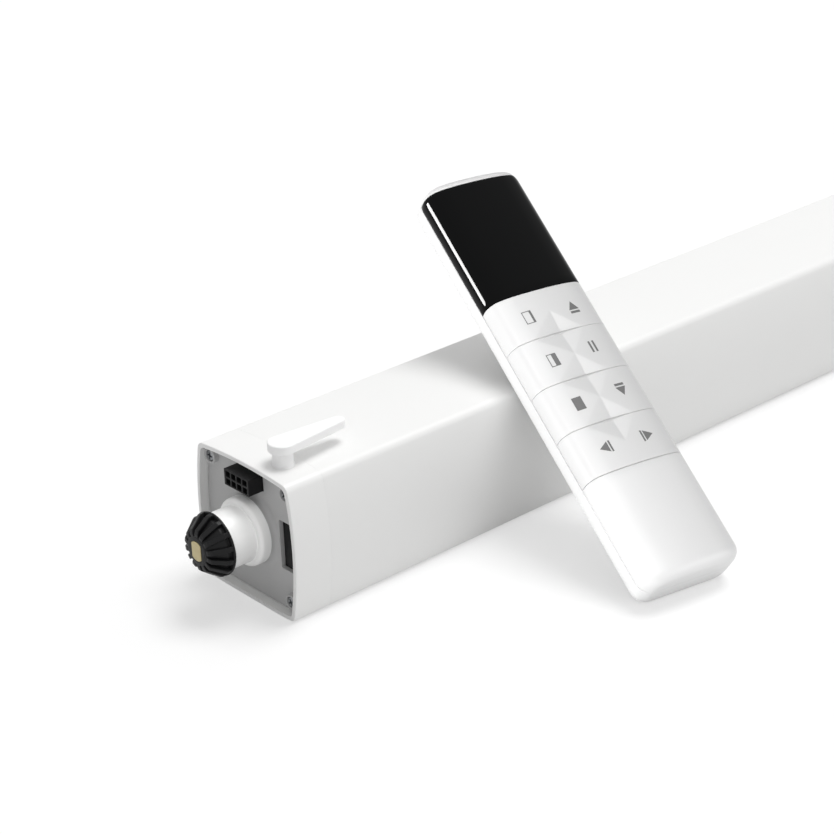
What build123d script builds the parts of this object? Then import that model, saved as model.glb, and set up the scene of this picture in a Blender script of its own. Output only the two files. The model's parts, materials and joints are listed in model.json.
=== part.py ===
from build123d import *
import os
from math import sin, cos, radians, sqrt

os.makedirs("parts", exist_ok=True)

# Drive unit of a motorized vertical blind, with its hand-held remote leaning on it
# The drive axis is X, the rim of the drive end lies at X = 0 and the box runs towards +X
# The unit lies on its flat side, on the floor below it

# Box section of the unit
CORNER_Y = 23.75
CORNER_TOP = 24.7
CORNER_LOW = -25.35
TOP_BOW = 1.3
SIDE_BOW = 2.63
FLOOR = -26.0
FLAT_HALF = 15.0
TOP_RADIUS = 3.2
LOW_RADIUS = 1.8
TUBE_WALL = 1.8
RIM_WALL = 1.46

# Lengths along the unit
UNIT_LENGTH = 360.0
CAP_LENGTH = 15.1
FAR_CAP_LENGTH = 14.0
SEAM = 0.12
RECESS = 3.5
PLATE_THICK = 2.0
TUBE_START = CAP_LENGTH + SEAM
TUBE_END = UNIT_LENGTH - FAR_CAP_LENGTH - SEAM

# Corner screws
SCREW_PITCH = 40.1
SCREW_HEAD = 2.0
SCREW_SHANK = 1.25
CHANNEL = 3.4

# Drive end
FLANGE_RADIUS = 11.3
FLANGE_BACK = -12.4
FLANGE_THICK = 0.75
CONE_START = FLANGE_BACK - FLANGE_THICK
CONE_NOSE = -20.1
CONE_NOSE_RADIUS = 4.6
RIB_RADIUS = 11.1
RIB_NOSE = 7.4
RIB_COUNT = 14
COLLAR_RADIUS = 10.05
BOSS_RADIUS = 12.1
BOSS_FACE = -2.7
BOSS_FOOT = 1.4
SHAFT_RADIUS = 3.6
SHAFT_FLATS = 5.0
SHAFT_TIP = -20.4
SHAFT_BACK = 31.0
CLIP_X = 14.0
PLUG_PITCH = 3.0
PLUG_Z = 18.8
PORT_Y = -17.6
PORT_Z = -0.75
PORT_SIZE = (6.8, 17.9)

# Lock lever
LEVER_X = 9.0
LEVER_Y = -11.2
LEVER_TOP = 34.0
LEVER_THICK = 3.05
LEVER_REACH = 26.0
LEVER_HUB = 4.9
POST_RADIUS = 4.4
POST_TOP = 30.45
ROOF_TOP = 25.6
ROOF_LOW = 23.3
SPINDLE = 1.9
CAM_LOW = 21.3
CAM_HIGH = 1.5
LEVER_AXIS = Axis((LEVER_X, LEVER_Y, 0), (0, 0, 1))

# Gear train
MODULE = 0.5
SMALL_TEETH = 10
LARGE_TEETH = 34
LAY_DROP = MODULE * (SMALL_TEETH + LARGE_TEETH) / 2
CASE_RADIUS = 22.0
CASE_WALL = 1.6
CASE_FRONT = 6.3
CASE_BACK = 44.0
COVER_BACK = 47.0
PIN_RADIUS = 1.5
RUN = 0.05

# Motor
CAN_RADIUS = 18.0
CAN_BACK = 107.0
MOTOR_SHAFT = 1.0

# Boards and far end
BOARD_LOW = -12.2
BOARD_THICK = 1.6
BOARD_TOP = BOARD_LOW + BOARD_THICK
POWER_BOARD_X = 182.0
CONTROL_BOARD_X = 284.0
BUTTON_Y = 7.0
BUTTON_Z = 6.0
BUTTON_RADIUS = 3.0

# Remote, as it leans on the unit
REMOTE_LENGTH = 168.3
REMOTE_WIDTH = 40.0
REMOTE_THICK = 18.0
LEAN = 35.2
HEADING = 79.7
FOOT_X = 107.0
FOOT_Y = -97.8
FOOT_RADIUS = 2.5
PARTING = 9.0
SHELL_WALL = 1.8
KEYS_START = 42.2
KEY_PITCH = 18.47
KEY_GAP = 0.3
KEY_SKIRT_GAP = 0.45
LENS_END = 166.2
KEY_PIVOT = 12.95
KEY_PIVOT_RADIUS = 0.6
SIDE_RADIUS = 7.5
CROWN_RADIUS = 60.0
BACK_RADIUS = 5.0
FOOT_FRONT_RADIUS = 5.0
PLAN_RADIUS = 6.0
DOOR_START = 4.8
DOOR_SIZE = (26.0, 46.4)
DOOR_THICK = 1.7
CELL_RADIUS = 5.25
CELL_SPREAD = 5.8
CELL_HEIGHT = 7.3
MAT_LOW = 11.0
REMOTE_BOARD_LOW = 9.7

# Frame of the remote: X across, Y from foot to top, Z out of the keys
TURN, TILT = radians(HEADING), radians(LEAN)
FOOT_Z = FLOOR - FOOT_RADIUS * (sin(TILT) + cos(TILT) - 1)
REMOTE = Plane(
    origin=(FOOT_X, FOOT_Y, FOOT_Z),
    x_dir=(sin(TURN), -cos(TURN), 0),
    z_dir=(-cos(TURN) * sin(TILT), -sin(TURN) * sin(TILT), cos(TILT)),
)
CROSS = Plane(REMOTE.origin, x_dir=REMOTE.x_dir, z_dir=-REMOTE.y_dir)
SIDE = Plane(REMOTE.origin, x_dir=REMOTE.y_dir, z_dir=REMOTE.x_dir)

MIN_ALIGN = (Align.CENTER, Align.CENTER, Align.MIN)


def box_section(inset=0.0):
    """Bowed box outline, set in from the outer skin by inset, with Y across and Z up."""
    half, top, low, floor = CORNER_Y - inset, CORNER_TOP - inset, CORNER_LOW + inset, FLOOR + inset
    with BuildSketch() as outline:
        with BuildLine():
            Line((-FLAT_HALF, floor), (FLAT_HALF, floor))
            RadiusArc((FLAT_HALF, floor), (half, low), -60)
            ThreePointArc((half, low), (half + SIDE_BOW, (low + top) / 2), (half, top))
            ThreePointArc((half, top), (0, top + TOP_BOW), (-half, top))
            ThreePointArc((-half, top), (-half - SIDE_BOW, (low + top) / 2), (-half, low))
            RadiusArc((-half, low), (-FLAT_HALF, floor), -60)
        make_face()
        corners = outline.vertices().sort_by(Axis.Y)
        fillet(corners[-2:], max(TOP_RADIUS - inset * 0.6, 0.8))
        fillet(outline.vertices().filter_by(lambda v: abs(abs(v.X) - half) < 0.01), max(LOW_RADIUS - inset * 0.4, 0.6))
    return outline.sketch


def gear_section(teeth, start=0.0):
    """Spur gear outline with straight-flanked teeth and room for backlash."""
    pitch_radius = MODULE * teeth / 2
    root, tip = pitch_radius - 1.2 * MODULE, pitch_radius + 0.85 * MODULE
    with BuildSketch() as outline:
        Circle(root + 0.02)
        with PolarLocations(0, teeth, start_angle=start):
            with BuildLine():
                Polyline(
                    (root - 0.25, -0.46), (pitch_radius, -0.31), (tip, -0.15),
                    (tip, 0.15), (pitch_radius, 0.31), (root - 0.25, 0.46), close=True,
                )
            make_face()
    return outline.sketch


# Extruded tube, with a screw channel in each corner and board rails on the side walls

with BuildPart() as motor_tube:
    with BuildSketch(Plane.YZ.offset(TUBE_START)):
        add(box_section())
        add(box_section(TUBE_WALL), mode=Mode.SUBTRACT)
        with GridLocations(SCREW_PITCH, SCREW_PITCH, 2, 2):
            Circle(CHANNEL)
        with Locations(
            (-23.6, -9.6), (23.6, -9.6), (-23.6, -13.2), (23.6, -13.2),
        ):
            Rectangle(3.4, 1.2)
        with GridLocations(SCREW_PITCH, SCREW_PITCH, 2, 2):
            Circle(SCREW_SHANK + RUN, mode=Mode.SUBTRACT)
        for side_y in (-1, 1):
            for side_z in (-1, 1):
                inward = SCREW_PITCH / 2 - 2.4
                with Locations((side_y * inward, side_z * inward)):
                    Rectangle(4.0, 1.3, rotation=45 * side_y * side_z, mode=Mode.SUBTRACT)
    extrude(amount=TUBE_END - TUBE_START)

# Drive end cap: thin rim, a ledge for the plate, four screw towers and a spigot for the tube

with BuildPart() as drive_cap:
    with BuildSketch(Plane.YZ):
        add(box_section())
        add(box_section(RIM_WALL), mode=Mode.SUBTRACT)
    extrude(amount=RECESS + PLATE_THICK)
    fillet(drive_cap.faces().sort_by(Axis.X)[0].outer_wire().edges(), 0.35)
    with BuildSketch(Plane.YZ.offset(RECESS + PLATE_THICK)):
        add(box_section())
        add(box_section(2.3), mode=Mode.SUBTRACT)
        with GridLocations(SCREW_PITCH, SCREW_PITCH, 2, 2):
            Circle(CHANNEL)
            Circle(SCREW_SHANK + 0.15, mode=Mode.SUBTRACT)
    extrude(amount=CAP_LENGTH - RECESS - PLATE_THICK)
    with BuildSketch(Plane.YZ.offset(CAP_LENGTH)):
        add(box_section(TUBE_WALL + 0.15))
        add(box_section(TUBE_WALL + 1.5), mode=Mode.SUBTRACT)
        Rectangle(28, 2 * CORNER_Y + 8, mode=Mode.INTERSECT)
    extrude(amount=5)
    with BuildSketch(Plane.XY.offset(CORNER_TOP - 4)):
        with Locations((LEVER_X, LEVER_Y)):
            Circle(3.25)
    extrude(amount=8, mode=Mode.SUBTRACT)
    with BuildSketch(Plane.XY.offset(ROOF_TOP)):
        with Locations((LEVER_X, LEVER_Y)):
            Circle(POST_RADIUS + 0.6)
    extrude(amount=2, mode=Mode.SUBTRACT)

# Recessed end plate, with corner bosses, the plug window and the port window

with BuildPart() as end_plate:
    with BuildSketch(Plane.YZ.offset(RECESS)):
        add(box_section(RIM_WALL + 0.08))
    extrude(amount=PLATE_THICK - 0.05)
    with BuildSketch(Plane.YZ.offset(RECESS)):
        with GridLocations(SCREW_PITCH, SCREW_PITCH, 2, 2):
            Circle(2.8)
        add(box_section(RIM_WALL + 0.08), mode=Mode.INTERSECT)
    extrude(amount=-1.8)
    with BuildSketch(Plane.YZ.offset(RECESS - 1.8)):
        with GridLocations(SCREW_PITCH, SCREW_PITCH, 2, 2):
            Circle(SCREW_HEAD + 0.1)
    extrude(amount=1.35, mode=Mode.SUBTRACT)
    with BuildSketch(Plane.YZ.offset(RECESS - 2)):
        Circle(8.2)
        with GridLocations(SCREW_PITCH, SCREW_PITCH, 2, 2):
            Circle(SCREW_SHANK + 0.15)
        with Locations((0, PLUG_Z)):
            Rectangle(13.5, 6.3)
        with Locations((PORT_Y, PORT_Z)):
            RectangleRounded(*PORT_SIZE, 0.3)
    extrude(amount=8, mode=Mode.SUBTRACT)

# Cross-recess screws that pass through plate and cap into the tube's channels

with BuildPart() as plate_screws:
    with BuildSketch(Plane.YZ.offset(RECESS - 1.55)):
        with GridLocations(SCREW_PITCH, SCREW_PITCH, 2, 2):
            Circle(SCREW_HEAD)
    extrude(amount=1.1)
    chamfer(plate_screws.faces().group_by(Axis.X)[0].edges(), 0.3)
    with BuildSketch(Plane.YZ.offset(RECESS - 0.6)):
        with GridLocations(SCREW_PITCH, SCREW_PITCH, 2, 2):
            Circle(SCREW_SHANK)
    extrude(amount=26)
    with BuildSketch(Plane.YZ.offset(RECESS - 1.55)):
        with GridLocations(SCREW_PITCH, SCREW_PITCH, 2, 2):
            Rectangle(2.5, 0.55)
            Rectangle(0.55, 2.5)
    extrude(amount=0.8, mode=Mode.SUBTRACT)

# Stepped boss and collar, with a flared foot on the plate and a spigot through it

with BuildPart() as bearing_boss:
    with BuildSketch(Plane.XY):
        with BuildLine():
            Polyline(
                (5.9, 4.3), (-3.2, 4.3), (-3.2, 6.05), (-12.0, 6.05), (-12.0, COLLAR_RADIUS - 0.45),
            )
            RadiusArc((-12.0, COLLAR_RADIUS - 0.45), (-11.55, COLLAR_RADIUS), 0.45)
            Line((-11.55, COLLAR_RADIUS), (BOSS_FACE, COLLAR_RADIUS))
            Line((BOSS_FACE, COLLAR_RADIUS), (BOSS_FACE, BOSS_RADIUS - 0.7))
            RadiusArc((BOSS_FACE, BOSS_RADIUS - 0.7), (BOSS_FACE + 0.7, BOSS_RADIUS), 0.7)
            Line((BOSS_FACE + 0.7, BOSS_RADIUS), (BOSS_FOOT, BOSS_RADIUS))
            RadiusArc((BOSS_FOOT, BOSS_RADIUS), (RECESS - 0.02, BOSS_RADIUS + 2.08), -2.08)
            Polyline(
                (RECESS - 0.02, BOSS_RADIUS + 2.08), (RECESS - 0.02, 8.1), (5.9, 8.1), (5.9, 4.3),
            )
        make_face()
    revolve(axis=Axis.X)

with BuildPart() as front_bush:
    with BuildSketch(Plane.YZ.offset(-11.4)):
        Circle(6.0)
        Circle(SHAFT_RADIUS + RUN, mode=Mode.SUBTRACT)
    extrude(amount=8.1)
    chamfer(front_bush.edges().filter_by(GeomType.CIRCLE).group_by(Axis.X)[0].sort_by(SortBy.RADIUS)[-1], 0.4)

# Ribbed cone coupling: flange ring, tapering core, and ribs that follow the taper

with BuildPart() as cone_rib:
    with BuildSketch(Plane.XY):
        with BuildLine():
            Polyline(
                (CONE_START + 0.2, 8.8), (CONE_START + 0.2, RIB_RADIUS), (CONE_START - 1.4, RIB_RADIUS),
                (CONE_NOSE + 0.6, RIB_NOSE), (CONE_NOSE + 0.2, RIB_NOSE - 1.2), (CONE_NOSE + 0.2, 4.2), close=True,
            )
        make_face()
    extrude(amount=0.8, both=True)

with BuildPart() as drive_cone:
    with BuildSketch(Plane.XY):
        with BuildLine():
            Polyline(
                (FLANGE_BACK, 0), (FLANGE_BACK, FLANGE_RADIUS), (CONE_START + 0.25, FLANGE_RADIUS),
                (CONE_START, FLANGE_RADIUS - 0.25), (CONE_START, RIB_RADIUS - 1.5),
                (CONE_START - 1.4, RIB_RADIUS - 1.5), (CONE_NOSE + 0.7, RIB_NOSE - 1.6),
                (CONE_NOSE, CONE_NOSE_RADIUS), (CONE_NOSE, 0), close=True,
            )
        make_face()
    revolve(axis=Axis.X)
    for index in range(RIB_COUNT):
        add(cone_rib.part.rotate(Axis.X, 360 / RIB_COUNT * (index + 0.5)))
    with BuildSketch(Plane.YZ.offset(CONE_NOSE - 1)):
        Circle(SHAFT_RADIUS + 0.02)
        Rectangle(SHAFT_FLATS + 0.04, 10, mode=Mode.INTERSECT)
    extrude(amount=12, mode=Mode.SUBTRACT)

# Output shaft: round where it runs, two flats where the cone sits, a groove for its clip

with BuildPart() as output_shaft:
    with BuildSketch(Plane.YZ.offset(SHAFT_TIP)):
        Circle(SHAFT_RADIUS)
    extrude(amount=SHAFT_BACK - SHAFT_TIP)
    chamfer(output_shaft.edges().filter_by(GeomType.CIRCLE), 0.3)
    with BuildSketch(Plane.YZ.offset(SHAFT_TIP)):
        with Locations((SHAFT_FLATS / 2 + 2, 0), (-SHAFT_FLATS / 2 - 2, 0)):
            Rectangle(4, 10)
    extrude(amount=FLANGE_BACK - SHAFT_TIP + 0.2, mode=Mode.SUBTRACT)
    with BuildSketch(Plane.YZ.offset(CLIP_X)):
        Circle(SHAFT_RADIUS + 1)
        Circle(SHAFT_RADIUS - 0.5, mode=Mode.SUBTRACT)
    extrude(amount=0.9, mode=Mode.SUBTRACT)

with BuildPart() as shaft_clip:
    with BuildSketch(Plane.YZ.offset(CLIP_X + 0.05)):
        Circle(5.4)
        Circle(SHAFT_RADIUS - 0.45, mode=Mode.SUBTRACT)
        with Locations((0, 4.5)):
            Rectangle(3.2, 5, mode=Mode.SUBTRACT)
        with PolarLocations(5.4, 3, start_angle=-90):
            Circle(0.9, mode=Mode.SUBTRACT)
    extrude(amount=0.8)

# Eight-way plug socket and its contacts

with BuildPart() as track_connector:
    with BuildSketch(Plane.YZ.offset(-2.3)):
        with Locations((0, PLUG_Z)):
            Rectangle(13.2, 6.0)
    extrude(amount=8.5)
    chamfer(track_connector.faces().sort_by(Axis.X)[0].edges(), 0.2)
    with BuildSketch(Plane.YZ.offset(-2.3)):
        with Locations((0, PLUG_Z)):
            with GridLocations(PLUG_PITCH, PLUG_PITCH - 0.2, 4, 2):
                Rectangle(2.2, 2.0)
    extrude(amount=5.5, mode=Mode.SUBTRACT)

with BuildPart() as connector_contacts:
    with BuildSketch(Plane.YZ.offset(0.6)):
        with Locations((0, PLUG_Z)):
            with GridLocations(PLUG_PITCH, PLUG_PITCH - 0.2, 4, 2):
                Rectangle(1.3, 1.1)
                Rectangle(0.7, 0.5, mode=Mode.SUBTRACT)
    extrude(amount=2.55)

# Port insert behind its window, with a wide mouth and a contact tongue

with BuildPart() as service_port:
    with BuildSketch(Plane.YZ.offset(RECESS + 1.5)):
        with Locations((PORT_Y, PORT_Z)):
            Rectangle(PORT_SIZE[0] - 0.16, PORT_SIZE[1] - 0.16)
    extrude(amount=1.2)
    with BuildSketch(Plane.YZ.offset(RECESS + 1.5)):
        with Locations((PORT_Y - 1.4, PORT_Z)):
            Rectangle(2.2, PORT_SIZE[1] - 3)
    extrude(amount=0.7, mode=Mode.SUBTRACT)

# Round post on the cap's roof, flared at its foot, with a bore for the lever's spindle

with BuildPart() as lever_post:
    with BuildSketch(Plane(origin=(LEVER_X, LEVER_Y, 0), x_dir=(1, 0, 0), z_dir=(0, -1, 0))):
        with BuildLine():
            Line((SPINDLE + RUN, ROOF_LOW), (3.2, ROOF_LOW))
            Line((3.2, ROOF_LOW), (3.2, ROOF_TOP))
            Line((3.2, ROOF_TOP), (POST_RADIUS + 0.5, ROOF_TOP))
            RadiusArc((POST_RADIUS + 0.5, ROOF_TOP), (POST_RADIUS, ROOF_TOP + 0.9), -0.9)
            Line((POST_RADIUS, ROOF_TOP + 0.9), (POST_RADIUS, POST_TOP - 0.2))
            Line((POST_RADIUS, POST_TOP - 0.2), (POST_RADIUS - 0.2, POST_TOP))
            Line((POST_RADIUS - 0.2, POST_TOP), (SPINDLE + RUN, POST_TOP))
            Line((SPINDLE + RUN, POST_TOP), (SPINDLE + RUN, ROOF_LOW))
        make_face()
    revolve(axis=LEVER_AXIS)

# Tapering lever arm with a short hub below it

with BuildPart() as lock_lever:
    with BuildSketch(Plane((LEVER_X, LEVER_Y, LEVER_TOP - LEVER_THICK))):
        Circle(LEVER_HUB)
        with Locations((LEVER_REACH - 1.8, 0.6), (LEVER_REACH - 1.8, -0.6)):
            Circle(1.8)
        make_hull()
    extrude(amount=LEVER_THICK)
    fillet(lock_lever.faces().sort_by(Axis.Z)[-1].edges(), 0.5)
    fillet(lock_lever.faces().sort_by(Axis.Z)[0].edges(), 0.3)
    with BuildSketch(Plane((LEVER_X, LEVER_Y, POST_TOP + 0.35))):
        Circle(POST_RADIUS - 0.7)
    extrude(amount=LEVER_TOP - LEVER_THICK - POST_TOP - 0.35)
    with BuildSketch(Plane((LEVER_X, LEVER_Y, POST_TOP))):
        Circle(SPINDLE + 0.01)
    extrude(amount=2.2, mode=Mode.SUBTRACT)

with BuildPart() as lock_spindle:
    with BuildSketch(Plane((LEVER_X, LEVER_Y, CAM_LOW - 0.4))):
        Circle(SPINDLE)
    extrude(amount=POST_TOP + 2.1 - CAM_LOW + 0.4)
    chamfer(lock_spindle.faces().sort_by(Axis.Z)[0].edges(), 0.3)

with BuildPart() as lock_cam:
    with BuildSketch(Plane((LEVER_X, LEVER_Y, CAM_LOW))):
        Circle(2.9)
        with Locations((3.0, 0)):
            Circle(1.5)
        make_hull()
        Circle(SPINDLE + 0.01, mode=Mode.SUBTRACT)
    extrude(amount=CAM_HIGH)
    fillet(lock_cam.faces().sort_by(Axis.Z)[-1].outer_wire().edges(), 0.25)

with BuildPart() as wave_washer:
    with BuildSketch(Plane((LEVER_X, LEVER_Y, ROOF_LOW - 0.45))):
        Circle(3.0)
        Circle(SPINDLE + RUN, mode=Mode.SUBTRACT)
    extrude(amount=0.4)

# Gearbox: a cup with a bearing hub, its cover, and the bush in the hub

with BuildPart() as gear_case:
    with BuildSketch(Plane.XY):
        with BuildLine():
            Polyline(
                (CASE_FRONT, 7.05), (CASE_FRONT, CASE_RADIUS - 0.8), (CASE_FRONT + 0.8, CASE_RADIUS),
                (CASE_BACK, CASE_RADIUS), (CASE_BACK, CASE_RADIUS - CASE_WALL), (CASE_FRONT + 3, CASE_RADIUS - CASE_WALL),
                (CASE_FRONT + 3, 9.5), (CASE_FRONT + 6.4, 9.0), (CASE_FRONT + 6.4, 7.05), close=True,
            )
        make_face()
    revolve(axis=Axis.X)
    with BuildSketch(Plane.YZ.offset(CASE_FRONT)):
        with Locations((0, -LAY_DROP)):
            Circle(PIN_RADIUS)
    extrude(amount=8, mode=Mode.SUBTRACT)

with BuildPart() as rear_bush:
    with BuildSketch(Plane.YZ.offset(CASE_FRONT + 0.1)):
        Circle(7.0)
        Circle(SHAFT_RADIUS + RUN, mode=Mode.SUBTRACT)
    extrude(amount=6.2)

with BuildPart() as gear_case_cover:
    with BuildSketch(Plane.YZ.offset(CASE_BACK + 0.05)):
        Circle(CASE_RADIUS)
        Circle(6.3, mode=Mode.SUBTRACT)
        with Locations((0, -LAY_DROP)):
            Circle(PIN_RADIUS, mode=Mode.SUBTRACT)
        with GridLocations(25, 0, 2, 1):
            Circle(1.55, mode=Mode.SUBTRACT)
    extrude(amount=COVER_BACK - CASE_BACK - 0.05)
    with BuildSketch(Plane.YZ.offset(CASE_BACK - 1.6)):
        Circle(CASE_RADIUS - CASE_WALL - 0.1)
        Circle(CASE_RADIUS - CASE_WALL - 1.4, mode=Mode.SUBTRACT)
    extrude(amount=1.7)

with BuildPart() as case_screws:
    with BuildSketch(Plane.YZ.offset(CASE_BACK - 1.4)):
        with GridLocations(25, 0, 2, 1):
            Circle(2.7)
    extrude(amount=1.4)
    with BuildSketch(Plane.YZ.offset(CASE_BACK - 0.2)):
        with GridLocations(25, 0, 2, 1):
            Circle(1.5)
    extrude(amount=4.9)
    with BuildSketch(Plane.YZ.offset(CASE_BACK - 1.4)):
        with GridLocations(25, 0, 2, 1):
            RegularPolygon(1.2, 6)
    extrude(amount=0.9, mode=Mode.SUBTRACT)

# Two equal reductions, so motor and output share one axis and the lay cluster runs below it

with BuildPart() as output_gear:
    with BuildSketch(Plane.YZ.offset(21)):
        add(gear_section(LARGE_TEETH))
        Circle(SHAFT_RADIUS + 0.01, mode=Mode.SUBTRACT)
    extrude(amount=9)

with BuildPart() as layshaft_cluster:
    with BuildSketch(Plane.YZ.offset(20.6)):
        with Locations((0, -LAY_DROP)):
            add(gear_section(SMALL_TEETH, 90))
    extrude(amount=11.4)
    with BuildSketch(Plane.YZ.offset(32)):
        with Locations((0, -LAY_DROP)):
            add(gear_section(LARGE_TEETH))
    extrude(amount=7)
    with BuildSketch(Plane.YZ.offset(20)):
        with Locations((0, -LAY_DROP)):
            Circle(PIN_RADIUS + RUN)
    extrude(amount=22, mode=Mode.SUBTRACT)

with BuildPart() as layshaft_pin:
    with BuildSketch(Plane.YZ.offset(CASE_FRONT + 0.2)):
        with Locations((0, -LAY_DROP)):
            Circle(PIN_RADIUS)
    extrude(amount=COVER_BACK - CASE_FRONT - 0.4)
    chamfer(layshaft_pin.faces().sort_by(Axis.X)[0].edges(), 0.3)

with BuildPart() as motor_pinion:
    with BuildSketch(Plane.YZ.offset(32.4)):
        add(gear_section(SMALL_TEETH, 90))
        Circle(MOTOR_SHAFT + 0.01, mode=Mode.SUBTRACT)
    extrude(amount=8)

# Motor: can with a nose boss, two arc magnets, five-pole rotor, end bell with its bush, two brushes

with BuildPart() as motor_can:
    with BuildSketch(Plane.XY):
        with BuildLine():
            Polyline(
                (44.6, MOTOR_SHAFT + RUN), (44.6, 6.2), (COVER_BACK + 0.1, 6.2), (COVER_BACK + 0.1, CAN_RADIUS - 1.5),
                (COVER_BACK + 1.6, CAN_RADIUS), (CAN_BACK, CAN_RADIUS), (CAN_BACK, CAN_RADIUS - 1.3),
                (COVER_BACK + 2.6, CAN_RADIUS - 1.3), (COVER_BACK + 2.6, MOTOR_SHAFT + RUN), close=True,
            )
        make_face()
    revolve(axis=Axis.X)
    with BuildSketch(Plane.YZ.offset(COVER_BACK)):
        with GridLocations(25, 0, 2, 1):
            Circle(1.5)
    extrude(amount=4, mode=Mode.SUBTRACT)

with BuildPart() as motor_magnets:
    with BuildSketch(Plane.YZ.offset(56)):
        Circle(CAN_RADIUS - 1.35)
        Circle(CAN_RADIUS - 4.6, mode=Mode.SUBTRACT)
        Rectangle(2 * CAN_RADIUS, 8, mode=Mode.SUBTRACT)
    extrude(amount=40)

with BuildPart() as motor_rotor:
    with BuildSketch(Plane.YZ.offset(60)):
        Circle(CAN_RADIUS - 5.2)
        Circle(CAN_RADIUS - 6.6, mode=Mode.SUBTRACT)
        with PolarLocations(CAN_RADIUS - 5.9, 5, start_angle=36):
            Rectangle(4, 1.6, mode=Mode.SUBTRACT)
        with PolarLocations(CAN_RADIUS / 2 - 3, 5):
            Rectangle(CAN_RADIUS - 5.6, 3.2)
        Circle(4.6)
    extrude(amount=32)
    with BuildSketch(Plane.YZ.offset(95)):
        Circle(4.2)
        with PolarLocations(4.2, 5, start_angle=36):
            Rectangle(1.2, 0.4, mode=Mode.SUBTRACT)
    extrude(amount=7)
    with BuildSketch(Plane.YZ.offset(32.6)):
        Circle(MOTOR_SHAFT)
    extrude(amount=85)

with BuildPart() as motor_windings:
    with BuildSketch(Plane.YZ.offset(57.5)):
        with PolarLocations(8.2, 5):
            RectangleRounded(5.0, 6.0, 1.2)
            Rectangle(6.0, 3.24, mode=Mode.SUBTRACT)
    extrude(amount=37)

with BuildPart() as motor_brushes:
    with BuildSketch(Plane.XZ.offset(4.6)):
        with Locations((98.5, 0)):
            Rectangle(5, 3)
    extrude(amount=5)
    mirror(about=Plane.XZ)

with BuildPart() as motor_end_bell:
    with BuildSketch(Plane.XY):
        with BuildLine():
            Polyline(
                (CAN_BACK - 2, CAN_RADIUS - 1.35), (CAN_BACK - 2, CAN_RADIUS - 3), (CAN_BACK + 0.1, CAN_RADIUS - 3),
                (CAN_BACK + 0.1, MOTOR_SHAFT + RUN), (CAN_BACK + 4, MOTOR_SHAFT + RUN), (CAN_BACK + 4, 4.5),
                (CAN_BACK + 2.2, 5), (CAN_BACK + 2.2, CAN_RADIUS), (CAN_BACK + 0.05, CAN_RADIUS),
                (CAN_BACK + 0.05, CAN_RADIUS - 1.35), close=True,
            )
        make_face()
    revolve(axis=Axis.X)

with BuildPart() as encoder_ring:
    with BuildSketch(Plane.YZ.offset(CAN_BACK + 4.6)):
        Circle(7)
        Circle(MOTOR_SHAFT + 0.01, mode=Mode.SUBTRACT)
    extrude(amount=3)

with BuildPart() as sensor_board:
    with BuildSketch(Plane.YZ.offset(CAN_BACK + 12)):
        Circle(15)
        Rectangle(40, 20, mode=Mode.INTERSECT)
    extrude(amount=1.2)
    with BuildSketch(Plane.YZ.offset(CAN_BACK + 9)):
        with Locations((0, 4.5)):
            Rectangle(4, 3)
    extrude(amount=3)
    with BuildSketch(Plane.YZ.offset(CAN_BACK + 2.25)):
        with GridLocations(24, 0, 2, 1):
            Circle(1.6)
    extrude(amount=9.75)

with BuildPart() as isolator_rings:
    with BuildSketch(Plane.YZ.offset(58)) as ring_outline:
        add(box_section(TUBE_WALL + 0.1))
        Circle(CAN_RADIUS + 0.02, mode=Mode.SUBTRACT)
        with GridLocations(SCREW_PITCH, SCREW_PITCH, 2, 2):
            Circle(CHANNEL + 3.2, mode=Mode.SUBTRACT)
        with Locations((-24, -13.5), (24, -13.5)):
            Rectangle(8, 12, mode=Mode.SUBTRACT)
    extrude(amount=7)
    mirror(about=Plane.YZ.offset(78))

# Boards slide into the side rails; each carries its parts on top

with BuildPart() as power_board:
    with BuildSketch(Plane.XY.offset(BOARD_LOW)):
        with Locations((POWER_BOARD_X, 0)):
            RectangleRounded(96, 47.4, 1)
        with Locations((POWER_BOARD_X, 0)):
            with GridLocations(86, 36, 2, 2):
                Circle(1.6, mode=Mode.SUBTRACT)
    extrude(amount=BOARD_THICK)

with BuildPart() as transformer:
    with BuildSketch(Plane.XY.offset(BOARD_TOP)):
        with Locations((POWER_BOARD_X + 6, 0)):
            Rectangle(24, 24)
    extrude(amount=3)
    with BuildSketch(Plane.XY.offset(BOARD_TOP + 3)):
        with Locations((POWER_BOARD_X + 6, 0)):
            Rectangle(22, 9)
            with GridLocations(0, 20, 1, 2):
                Rectangle(22, 4)
    extrude(amount=17)
    with BuildSketch(Plane.XY.offset(BOARD_TOP + 20)):
        with Locations((POWER_BOARD_X + 6, 0)):
            Rectangle(22, 24)
    extrude(amount=4)

with BuildPart() as transformer_winding:
    with BuildSketch(Plane.XY.offset(BOARD_TOP + 3.2)):
        with Locations((POWER_BOARD_X + 6, 0)):
            RectangleRounded(27, 15, 2)
            Rectangle(22.1, 9.1, mode=Mode.SUBTRACT)
    extrude(amount=16.6)

with BuildPart() as power_parts:
    with BuildSketch(Plane.XY.offset(BOARD_TOP)):
        with Locations((POWER_BOARD_X - 34, 8), (POWER_BOARD_X - 34, -10)):
            Circle(8)
    extrude(amount=22)
    with BuildSketch(Plane.XY.offset(BOARD_TOP)):
        with Locations((POWER_BOARD_X + 32, 12), (POWER_BOARD_X + 32, -1), (POWER_BOARD_X + 32, -14)):
            Circle(5)
    extrude(amount=14)
    with BuildSketch(Plane.XY.offset(BOARD_TOP)):
        with Locations((POWER_BOARD_X - 16, 0)):
            Rectangle(6, 30)
    extrude(amount=12)

with BuildPart() as control_board:
    with BuildSketch(Plane.XY.offset(BOARD_LOW)):
        with Locations((CONTROL_BOARD_X, 0)):
            RectangleRounded(92, 47.4, 1)
        with Locations((CONTROL_BOARD_X, 0)):
            with GridLocations(82, 36, 2, 2):
                Circle(1.6, mode=Mode.SUBTRACT)
    extrude(amount=BOARD_THICK)

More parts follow.
